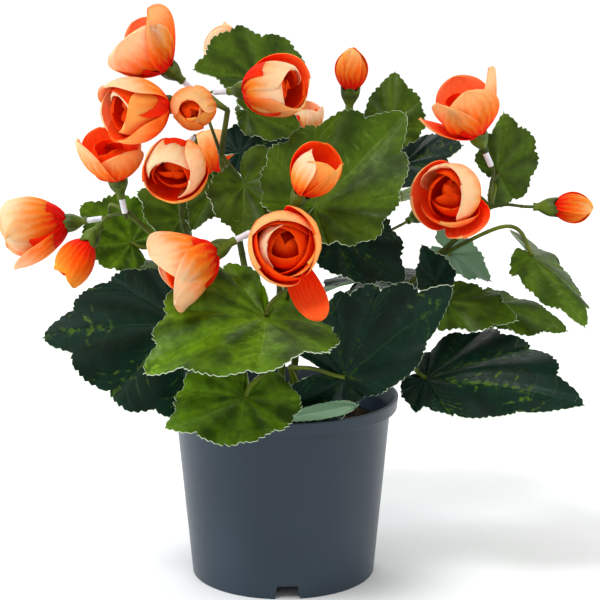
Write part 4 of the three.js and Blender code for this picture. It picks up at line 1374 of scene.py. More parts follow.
@dataclass
class Stems:
    """The stalks with their petioles, pedicels, sleeves and calyxes.

    Attributes:
        stalks: The stalks.
        leaves: The leaves by name.
        blooms: The blooms and buds by name.
        stalk_radius: Radius of a stalk at its foot.
        taper: Share of it that is lost towards the top.
        petiole_radius: Radius of a leaf's stem.
        pedicel_radius: Radius of a flower's stem.
        sleeve_radius: Radius of a white sleeve.
        sleeve_length: Its length.
        calyx_length: Length of a calyx below the petals.
        calyx_radius: Radius of its cup.
        calyx_neck: Radii of its neck, at the foot and above it.
        calyx_rise: How far its rim stands up round the petals.
        calyx_lobes: Number of lobes round the rim.
        lobe_rise: How far they reach over it.
        step: Distance between a line's points.
        sides: Points round a stem.
        swelling: How much thicker a branch is where it leaves its stalk, over its radius.
        swelling_reach: Distance over which that fades.
        ridge_spacing: Distance between ridges along a stem.
        ridge_height: Height of a ridge over the stem's radius.
        blade_gap: Distance from a petiole's end to the middle of its blade.
    """

    stalks: tuple[Stalk, ...]
    leaves: dict[str, Leaf]
    blooms: dict[str, Bloom]
    stalk_radius: float = 2.0
    taper: float = 0.35
    petiole_radius: float = 1.0
    pedicel_radius: float = 0.8
    sleeve_radius: float = 1.45
    sleeve_length: float = 8.0
    calyx_length: float = 9.0
    calyx_radius: float = 4.3
    calyx_neck: Pair = (2.1, 1.9)
    calyx_rise: float = 2.3
    calyx_lobes: int = 4
    lobe_rise: float = 1.2
    step: float = 2.5
    sides: int = 12
    swelling: float = 0.55
    swelling_reach: float = 3.5
    ridge_spacing: float = 6.5
    ridge_height: float = 0.16
    blade_gap: float = 0.65

    def petiole(self, start: Triple, via: Sequence[Triple], leaf: Leaf) -> np.ndarray:
        """The line of a petiole, which comes in along the leaf's slit.

        Args:
            start: Where it leaves the stalk.
            via: Points that it passes.
            leaf: The leaf that it holds.

        Returns:
            The line's points.
        """
        frame = leaf.frame()
        slit = math.radians(leaf.slit)
        away = unit(frame @ np.array([0, 0, 1 if leaf.over else -1]))
        out = unit(frame @ np.array([math.cos(slit), math.sin(slit), 0]))
        end = np.array(leaf.base) + away * (self.blade_gap + self.petiole_radius * 0.7)
        near = end + away + out * 5
        return smooth_line([start, *via, tuple(near), tuple(end)], self.step)

    def pedicel(self, start: Triple, via: Sequence[Triple], bloom: Bloom) -> np.ndarray:
        """The line of a pedicel, up into its sleeve.

        Args:
            start: Where it leaves the stalk.
            via: Points that it passes.
            bloom: The bloom that it holds.

        Returns:
            The line's points.
        """
        axis = unit(np.array(bloom.axis))
        end = self.calyx_length + (self.sleeve_length if bloom.sleeved else 1)
        inside = [tuple(np.array(bloom.base) - axis * back) for back in (end + 3, end - 2)]
        return smooth_line([start, *via, *inside], self.step)

    def radii(self, line: np.ndarray, radius: float) -> np.ndarray:
        """Radius along a branch, swollen where it leaves its stalk."""
        travel = np.concatenate([[0], np.cumsum(np.linalg.norm(np.diff(line, axis=0), axis=1))])
        return radius * (1 + self.swelling * np.exp(-travel / self.swelling_reach))

    def lines(self, stalk: Stalk) -> list[tuple[np.ndarray, np.ndarray]]:
        """Every line of a stalk with its radii.

        Args:
            stalk: The stalk.

        Returns:
            Pairs of a line's points and its radius at each.
        """
        rise = smooth_line(stalk.path[1:], self.step)
        trunk = np.vstack([stalk.path[0], rise])
        shares = np.arange(len(trunk)) / len(trunk)
        found = [(trunk, self.stalk_radius * (1 - self.taper * shares))]
        for branch in stalk.branches:
            start = stalk.path[branch.start]
            if branch.to in self.leaves:
                line = self.petiole(start, branch.via, self.leaves[branch.to])
                found.append((line, self.radii(line, self.petiole_radius)))
            else:
                line = self.pedicel(start, branch.via, self.blooms[branch.to])
                found.append((line, self.radii(line, self.pedicel_radius)))
        return found

    def seed_piece(self, stalk: Stalk) -> bpy.types.Object:
        """A piece of bare lines, which the stem tree then turns into stems.

        Args:
            stalk: The stalk.

        Returns:
            The piece, with a radius stored at each point.
        """
        lines = self.lines(stalk)
        starts = np.cumsum([0] + [len(line) for line, _ in lines])
        edges = [(int(first) + k, int(first) + k + 1)
                 for first, (line, _) in zip(starts, lines) for k in range(len(line) - 1)]
        mesh = bpy.data.meshes.new(stalk.name + "_stems")
        mesh.from_pydata((np.vstack([line for line, _ in lines]) * MM).tolist(), edges, [])
        mark = mesh.attributes.new("radius", "FLOAT", "POINT")
        radii = np.concatenate([radii for _, radii in lines])
        mark.data.foreach_set("value", radii.astype(np.float32) * MM)
        piece = bpy.data.objects.new(stalk.name + "_stems", mesh)
        bpy.context.scene.collection.objects.link(piece)
        return piece

    def along_axis(self, shape: Sheet, bloom: Bloom) -> Sheet:
        """Puts a turned shape on a bloom's axis, its height counted from the bloom's base.

        Args:
            shape: The shape, changed in place.
            bloom: The bloom.

        Returns:
            The same shape.
        """
        axis = Vector(bloom.axis).normalized()
        turn = np.array(Vector((0, 0, 1)).rotation_difference(axis).to_matrix())
        shape.points = shape.points @ turn.T + np.array(bloom.base)
        return shape

    def sleeve(self, bloom: Bloom) -> Sheet:
        """The white sleeve that joins a calyx to its pedicel.

        Args:
            bloom: The bloom that it stands behind.

        Returns:
            The sleeve as a closed sheet.
        """
        top, foot = -self.calyx_length + 1, -self.calyx_length - self.sleeve_length
        r = self.sleeve_radius
        corners = [(0, foot, 0), (r, foot, 0.3), (r * 1.04, top, 0.3), (0, top, 0)]
        return self.along_axis(turned(rounded(corners), 14), bloom)

    def calyx(self, bloom: Bloom) -> Sheet:
        """The green cup behind a bloom: a ribbed neck that swells to a lobed rim.

        Args:
            bloom: The bloom that it holds.

        Returns:
            The cup as a closed sheet.
        """
        r, length, rise = self.calyx_radius, self.calyx_length, self.calyx_rise
        foot, neck = self.calyx_neck
        corners = [
            (0, -length, 0),
            (foot, -length, 0.4),
            (neck, -length * 0.72, 0.8),
            (r * 0.72, -length * 0.5, 1.2),
            (r * 1.05, -length * 0.2, 1.4),
            (r * 1.12, rise, 0.3),
            (r * 0.92, rise, 0.3),
            (r * 0.7, 0.3, 0.5),
            (0, 0.3, 0)]
        cup = turned(rounded(corners, 4), 30)
        angle = np.arctan2(cup.points[:, 1], cup.points[:, 0])
        share = smoothstep(cup.points[:, 2], -length * 0.4, rise)
        lobes = np.cos(self.calyx_lobes * angle)
        cup.points[:, 2] += self.lobe_rise * share * lobes * (cup.points[:, 2] > 0.25 * rise)
        swell = 1 + 0.05 * share * lobes + 0.03 * np.cos(9 * angle)
        cup.points[:, :2] *= swell[:, None]
        return self.along_axis(cup, bloom)

    def build(self) -> None:
        """Builds and dresses every stalk."""
        growth = stem_growth()
        stem, calyx, sleeve = (
            finish.material() for finish in (STEM_FINISH, CALYX_FINISH, SLEEVE_FINISH))
        for number, stalk in enumerate(self.stalks):
            piece = self.seed_piece(stalk)
            growth.run(piece, {
                "Sides": self.sides, "Ridge Spacing": self.ridge_spacing * MM,
                "Ridge Height": self.ridge_height, "Seed": number, "Finish": stem})
            keep(piece, "stalk", stalk.name)
            held = [self.blooms[branch.to] for branch in stalk.branches if branch.to in self.blooms]
            if held:
                cups = joined(self.calyx(bloom) for bloom in held)
                keep(make_piece(stalk.name + "_calyxes", cups, calyx), "stalk")
                sleeves = joined(self.sleeve(bloom) for bloom in held if bloom.sleeved)
                keep(make_piece(stalk.name + "_sleeves", sleeves, sleeve), "stalk")


# ---------------------------------------------------------------- pot and fill
@dataclass
class Pot:
    """The nursery pot: tapered wall, proud rim band, raised plate, notches and drain holes.

    Attributes:
        height: Its height.
        rim_radius: Radius of the rim band at the top.
        rim_band: Height of that band.
        ledge_radius: Radius of the wall just under it.
        foot_radius: Radius of the wall at the foot.
        wall: Thickness of the wall.
        foot_lift: Height of the bottom plate's underside.
        rim_flare: How far the band opens towards the top.
        sides: Points round the pot.
        notch_height: Height of a notch in the foot.
        notch_top: Its width at the top.
        notch_foot: Its width at the foot.
        notch_angles: Where the notches are, in degrees.
        drain_radius: Radius of a drain hole.
        drain_circle: Distance of the holes from the axis.
        drain_count: How many there are.
        crease: Angle over which an edge stays sharp, in degrees.
        wall_rings: Rings of points up the wall.
    """

    height: float = 95.0
    rim_radius: float = 60.0
    rim_band: float = 7.0
    ledge_radius: float = 55.8
    foot_radius: float = 47.7
    wall: float = 1.4
    foot_lift: float = 6.5
    rim_flare: float = 0.8
    sides: int = 144
    notch_height: float = 7.1
    notch_top: float = 10.4
    notch_foot: float = 13.5
    notch_angles: tuple[float, ...] = (-87.0, 33.0, 153.0)
    drain_radius: float = 3.5
    drain_circle: float = 30.0
    drain_count: int = 4
    crease: float = 35.0
    wall_rings: int = 9

    def wall_radius(self, z: float) -> float:
        """Outer radius of the tapered wall at height z."""
        slope = (self.ledge_radius - self.foot_radius) / (self.height - self.rim_band)
        return self.foot_radius + slope * z

    def profile(self) -> list[Pair]:
        """The pot's rounded section, from the axis under the plate to the axis above it.

        Returns:
            Radius and height of each of its points.
        """
        ledge = self.height - self.rim_band
        plate = self.foot_lift + self.wall
        outer, wall = self.rim_radius, self.wall
        rings = np.linspace(self.notch_height + 1, ledge - 4, self.wall_rings)
        return rounded([
            (0, self.foot_lift, 0),
            (self.wall_radius(self.foot_lift) - wall, self.foot_lift, 0.8),
            (self.foot_radius - wall, 0, 0.2),
            (self.foot_radius, 0, 0.5),
            *((self.wall_radius(z), float(z), 0) for z in rings),
            (self.ledge_radius, ledge, 0.5),
            (outer - self.rim_flare, ledge, 1.0),
            (outer, self.height, 0.7),
            (outer - wall, self.height, 0.5),
            (self.wall_radius(ledge) - wall, ledge, 1.2),
            (self.wall_radius(plate) - wall, plate, 2.0),
            (0, plate, 0)])

    def cutters(self) -> list[bpy.types.Object]:
        """The solids that cut the notches in the foot and the drain holes.

        Returns:
            The cutters, one for each notch and each hole.
        """
        made = []
        reach = 4 * self.wall
        for k, angle in enumerate(self.notch_angles):
            turn = math.radians(angle)
            ahead = np.array([math.cos(turn), math.sin(turn), 0])
            side = np.array([-math.sin(turn), math.cos(turn), 0])
            corners = [
                ahead * (self.foot_radius + reach * out) + side * half * across + np.array([0, 0, z])
                for out in (-1, 1)
                for half, z in ((self.notch_foot / 2, -1), (self.notch_top / 2, self.notch_height))
                for across in (-1, 1)]
            faces = [(0, 2, 3, 1), (4, 5, 7, 6), (0, 1, 5, 4), (2, 6, 7, 3), (0, 4, 6, 2), (1, 3, 7, 5)]
            made.append(Sheet(np.array(corners), faces, np.zeros((8, 2))))
        for k in range(self.drain_count):
            turn = math.tau * k / self.drain_count
            r, top = self.drain_radius, self.foot_lift + reach
            low = self.foot_lift - reach
            hole = turned([(0, low), (r, low), (r, top), (0, top)], 24)
            hole.points += self.drain_circle * np.array([math.cos(turn), math.sin(turn), 0])
            made.append(hole)
        return [make_piece(f"cutter_{k}", sheet, None) for k, sheet in enumerate(made)]

    def build(self) -> None:
        """Builds and dresses the pot."""
        pot = make_piece("pot_shell", turned(self.profile(), self.sides), POT_FINISH.material())
        cutters = self.cutters()
        for cutter in cutters:
            cut = pot.modifiers.new(cutter.name, "BOOLEAN")
            cut.object = cutter
            cut.solver = "EXACT"
        graph = bpy.context.evaluated_depsgraph_get()
        shell = bpy.data.meshes.new_from_object(pot.evaluated_get(graph), depsgraph=graph)
        pot.modifiers.clear()
        pot.data = shell
        soften(shell, self.crease)
        for cutter in cutters:
            bpy.data.objects.remove(cutter)
        keep(pot, "pot", "pot")


@dataclass
class Fill:
    """The crumbly fill that the stalks stand in.

    Attributes:
        pot: The pot that it lies in.
        top: Its height at the wall.
        crown: How much higher its middle is.
        shoulder_radius: Where its top starts to fall more steeply.
        shoulder: Share of the crown that is left there.
        plate_gap: Distance from the pot's bottom plate.
        clearance: Distance from the outside of the pot's wall.
        relief: Height of its unevenness.
        sides: Points round it.
        rings: Rings of points over its top.
        crumb_density: Crumbs per square metre.
        crumb_size: Radius of a crumb.
        seed: Seed of the scatter.
    """

    pot: Pot
    top: float = 78.0
    crown: float = 4.0
    shoulder_radius: float = 25.0
    shoulder: float = 0.8
    plate_gap: float = 0.3
    clearance: float = 2.0
    relief: float = 0.7
    sides: int = 96
    rings: int = 26
    crumb_density: float = 420000.0
    crumb_size: float = 0.9
    seed: int = 7

    def sheet(self) -> Sheet:
        """The fill's closed body, uneven on top.

        Returns:
            The fill without its crumbs.
        """
        bed = self.pot.foot_lift + self.pot.wall + self.plate_gap
        rim = self.pot.wall_radius(self.top) - self.clearance
        reach = np.linspace(rim, 0, self.rings)
        heights = np.interp(reach, [0, self.shoulder_radius, rim],
                            [self.top + self.crown, self.top + self.crown * self.shoulder, self.top])
        profile = [(0.0, bed), (self.pot.wall_radius(bed) - self.clearance, bed)]
        profile += [(float(r), float(z)) for r, z in zip(reach, heights)]
        body = turned(profile, self.sides)
        x, y = body.points[:, 0], body.points[:, 1]
        uneven = np.sin(0.31 * x + 1.7) * np.sin(0.27 * y + 0.4) + 0.6 * np.sin(0.73 * x + 0.5 * y)
        body.points[:, 2] += np.where(body.points[:, 2] > self.top - 1, self.relief * uneven, 0)
        return body

    def build(self) -> None:
        """Builds the fill and scatters its crumbs."""
        finish = FillFinish().material()
        piece = make_piece("fill_bed", self.sheet(), finish)
        crumb_growth().run(piece, {
            "Density": self.crumb_density, "Crumb Size": self.crumb_size * MM,
            "Seed": self.seed, "Finish": finish})
        keep(piece, "fill", "fill")


# ---------------------------------------------------------------- studio
@dataclass
class Lamp:
    """A soft square light: where it is, how wide, in metres, and its power in watts.

    Attributes:
        name: Its name.
        place: Where it is, in metres.
        width: Its width in metres.
        power: Its power in watts.
        colour: The colour of its light.
    """

    name: str
    place: Triple
    width: float
    power: float
    colour: Triple = (1.0, 1.0, 1.0)


@dataclass
class Studio:
    """Camera, soft light and pale floor.

    Attributes:
        camera_place: Where the camera is, in millimetres.
        camera_pitch: How far it looks down, in degrees.
        focal_length: Its lens in millimetres.
        aim: Where the lamps look, in metres.
        floor_radius: Radius of the floor in metres.
        floor_thickness: Its thickness in millimetres.
        floor_sides: Points round it.
        floor_roughness: Roughness of its paint.
        floor_colour: Colour of the floor.
        sky: Colour of the light from all round.
        sky_strength: Its strength.
        sun_place: Where the soft main light comes from.
        sun_strength: Its strength.
        sun_angle: How wide it is, in degrees.
        lamps: The lamps beside it.
    """

    camera_place: Triple = (8.84, -911.0, 330.5)
    camera_pitch: float = 11.54
    focal_length: float = 108.456
    aim: Triple = (0.0, 0.0, 0.14)
    floor_radius: float = 200.0
    floor_thickness: float = 20.0
    floor_sides: int = 64
    floor_roughness: float = 0.9
    floor_colour: Colour = (0.9, 0.9, 0.9, 1.0)
    sky: Colour = (1.0, 1.0, 1.0, 1.0)
    sky_strength: float = 0.78
    sun_place: Triple = (-0.5, -0.75, 1.3)
    sun_strength: float = 1.5
    sun_angle: float = 14.0
    lamps: tuple[Lamp, ...] = (
        Lamp("side", (1.2, -0.2, 0.5), 0.5, 3.0),
        Lamp("left", (-1.2, -0.1, 0.4), 0.5, 6.0, (0.7, 0.86, 1.0)),
        Lamp("back", (-0.3, 1.3, 1.4), 0.9, 8.0),
    )

    def build(self) -> None:
        """Sets up the camera, the lights and the floor."""
        scene = bpy.context.scene
        scene.view_settings.view_transform = "Standard"
        lens = bpy.data.cameras.new("camera")
        lens.lens = self.focal_length
        camera = bpy.data.objects.new("camera", lens)
        camera.location = [value * MM for value in self.camera_place]
        camera.rotation_euler = (math.radians(90 - self.camera_pitch), 0, 0)
        scene.collection.objects.link(camera)
        scene.camera = camera
        for lamp in self.lamps:
            light = bpy.data.lights.new(lamp.name, "AREA")
            light.size = lamp.width
            light.energy = lamp.power
            light.color = lamp.colour
            spot = bpy.data.objects.new(lamp.name, light)
            spot.location = lamp.place
            spot.rotation_euler = (Vector(self.aim) - spot.location).to_track_quat("-Z", "Y").to_euler()
            scene.collection.objects.link(spot)
        sun = bpy.data.lights.new("sun", "SUN")
        sun.energy = self.sun_strength
        sun.angle = math.radians(self.sun_angle)
        key = bpy.data.objects.new("sun", sun)
        key.rotation_euler = Vector(self.sun_place).to_track_quat("Z", "Y").to_euler()
        scene.collection.objects.link(key)
        world = bpy.data.worlds.new("studio")
        world.use_nodes = True
        background = world.node_tree.nodes["Background"]
        background.inputs["Color"].default_value = self.sky
        background.inputs["Strength"].default_value = self.sky_strength
        scene.world = world
        radius, low = self.floor_radius / MM, -self.floor_thickness
        disc = turned([(0, low), (radius, low), (radius, 0), (0, 0)], self.floor_sides)
        shader = Shader("floor paint")
        paint = shader.finish({"Base Color": self.floor_colour, "Roughness": self.floor_roughness})
        make_piece("floor", disc, paint)


# ---------------------------------------------------------------- the whole plant
LEAVES = (
    Leaf("leaf_front_left", Tone.BRIGHT, (-7, -88, 154), (-63, -112, 133),
         (-0.15, -0.62, 0.77), (1.0, 1.1), (1.0, 0.95), 240, 45, 12, 0.03, over=True),
    Leaf("leaf_front_low", Tone.BRIGHT, (-17, -76, 112), (-55, -92, 102),
         (-0.1, -0.75, 0.65), (1.0, 1.15), (1.3, 1.0), 236, 20, 8, 0.03, over=True),
    Leaf("leaf_front_right", Tone.DARK, (31, -45, 115), (84, -49, 162),
         (0.1, -0.95, 0.3), (1.05, 0.34), (0.8, 2.7), 125, 10, 10, 0.03, over=True),
    Leaf("leaf_low_left", Tone.DARK, (-48, -46, 142), (-116, -62, 139),
         (-0.1, -0.75, 0.65), (1.25, 0.9), (0.6, 0.6), 180, 25, -8, 0.02),
    Leaf("leaf_low_right", Tone.DARK, (72, -30, 110), (148, -58, 104),
         (0.1, -0.6, 0.8), (1.05, 0.42), (0.5, 0.8), 150, 25, -8, 0.02, over=True),
    Leaf("leaf_centre", Tone.MID, (16, -66, 203), (60, -45, 246),
         (0, -0.85, 0.5), (0.95, 0.9), (0.8, 0.7), 185, -15, 5, 0.03),
    Leaf("leaf_top", Tone.MID, (-12, 5, 256), (-45, -3, 263),
         (0.1, -0.7, 0.7), (0.8, 1.5), (1.0, 1.3), 180, 20, 10, 0.03),
    Leaf("leaf_mid_left", Tone.MID, (-18, -55, 212), (-19, -70, 187),
         (0.1, -0.9, 0.4), (1.3, 1.2), (1.3, 0.7), 200, 20, 15, 0.03),
    Leaf("leaf_top_right", Tone.MID, (54, 0, 233), (57, 12, 261),
         (-0.2, -0.8, 0.5), (1.0, 1.1), (0.8, 0.8), 180, 10, -20, 0.03),
    Leaf("leaf_behind_right", Tone.DARK, (62, 5, 214), (92, 0, 225),
         (0, -0.6, 0.8), (0.9, 1.0), (0.8, 0.8), 180, 20, 0, 0.03),
    Leaf("leaf_right_upper", Tone.MID, (109, 0, 211), (111, -5, 242),
         (0.2, -0.8, 0.5), (0.8, 1.25), (0.5, 1.1), 150, 10, -10, 0.02, over=True),
    Leaf("leaf_right_drooping", Tone.MID, (122, -40, 174), (147, -61, 143),
         (0.5, -0.6, 0.6), (1.2, 0.6), (1.3, 0.7), 166, 20, -25, 0.02, over=True),
    Leaf("leaf_right_inner", Tone.MID, (87, 5, 168), (107, -5, 155),
         (0.3, 0.8, 0.5), (0.9, 0.9), (1.3, 1.3), 180, 10, 10, 0.02),
    Leaf("leaf_right_lower", Tone.MID, (82, -20, 147), (118, -30, 140),
         (0, -0.6, 0.8), (0.9, 0.8), (0.6, 0.7), 180, 25, -10, 0.03),
    Leaf("leaf_right_pointed", Tone.MID, (106, -4, 143), (148, 0, 128),
         (0, -0.5, 0.85), (0.7, 0.6), (0.7, 0.7), 180, 15, -15, 0.02),
    Leaf("leaf_stalk_small", Tone.DARK, (77, -25, 158), (69, -30, 179),
         (0, -0.95, 0.2), (0.8, 0.9), (0.6, 0.6), 180, 10, 15, 0.02),
    Leaf("leaf_left_outer", Tone.BRIGHT, (-80, 26, 170), (-107, 28, 190),
         (0, -0.85, 0.5), (1.1, 1.2), (0.8, 0.8), 185, 10, 10, 0.03, over=True),
    Leaf("leaf_left_inner", Tone.MID, (-52, 2, 187), (-75, 4, 201),
         (0, -0.8, 0.6), (1.0, 1.0), (0.8, 0.8), 180, 15, 5, 0.03),
    Leaf("leaf_mid_left_pale", Tone.MID, (-33, -14, 205), (-46, -20, 183),
         (-0.2, -0.8, 0.5), (0.75, 0.8), (0.8, 0.8), 180, 15, 5, 0.02),
    Leaf("leaf_centre_low", Tone.DARK, (27, -32, 183), (61, -38, 161),
         (0.1, -0.8, 0.6), (1.1, 0.9), (0.6, 0.7), 180, 15, 5, 0.03),
    Leaf("leaf_top_under", Tone.MID, (-17, -17, 243), (11, -14, 231),
         (0, -0.8, 0.6), (1.0, 0.8), (0.6, 0.6), 180, 10, 5, 0.03),
    Leaf("leaf_behind_centre", Tone.DARK, (-22, 4, 220), (8, 10, 229),
         (0, -0.7, 0.7), (1.0, 0.9), (0.8, 0.8), 180, 15, 0, 0.03),
    Leaf("leaf_back_left", Tone.MID, (-48, 45, 150), (-100, 70, 150),
         (-0.3, 0.3, 0.9), (1.0, 1.0), (0.9, 0.9), 180, 30, -8, 0.03),
    Leaf("leaf_back_right", Tone.DARK, (45, 50, 146), (92, 84, 138),
         (0.3, 0.3, 0.9), (1.0, 1.0), (0.9, 0.9), 180, 30, -8, 0.03),
    Leaf("leaf_back_low", Tone.DARK, (-8, 66, 126), (-20, 120, 106),
         (-0.1, 0.5, 0.85), (1.0, 1.0), (0.9, 0.9), 180, 35, -8, 0.03),
    Leaf("leaf_back_upper", Tone.MID, (6, 56, 192), (14, 102, 176),
         (0.1, 0.5, 0.85), (1.0, 1.0), (0.9, 0.9), 180, 30, -8, 0.03),
    Leaf("leaf_back_side", Tone.BRIGHT, (62, 38, 195), (102, 62, 190),
         (0.3, 0.3, 0.9), (1.0, 1.0), (0.9, 0.9), 180, 30, -8, 0.03),
)
FLAP = Leaf("flap", Tone.DARK, (37, -51, 102), (-6, -59, 96),
            (0, 0.95, -0.3), (0.05, 0.02), (1.2, 1.0), 180, 0, 0, 0)

UP, BACK = (0, 0, 1), (0, 1, 0)
CLOSED = Petal(UP, 1.0, 0.95, 1.05, -1.15, 0.95, 0.15, 0.0, 0.7)
TULIP = Petal(UP, 1.0, 1.1, 1.2, -0.35, 0.9, 0.45)
LINING = Petal(UP, 0.92, 1.15, 1.3, -0.75, 0.95, 0.0, 1.0, root=1.2)
CORE = Petal(UP, 0.78, 1.1, 1.1, -1.2, 1.0, 0.0, 1.0, 0.3, root=0.8)
ROSE_HEART = (Whorl(LINING, 3, 20), Whorl(CORE, 3, 80))
TULIP_HEART = (Whorl(replace(LINING, length=0.8), 3, 50), Whorl(replace(CORE, length=0.62), 2))

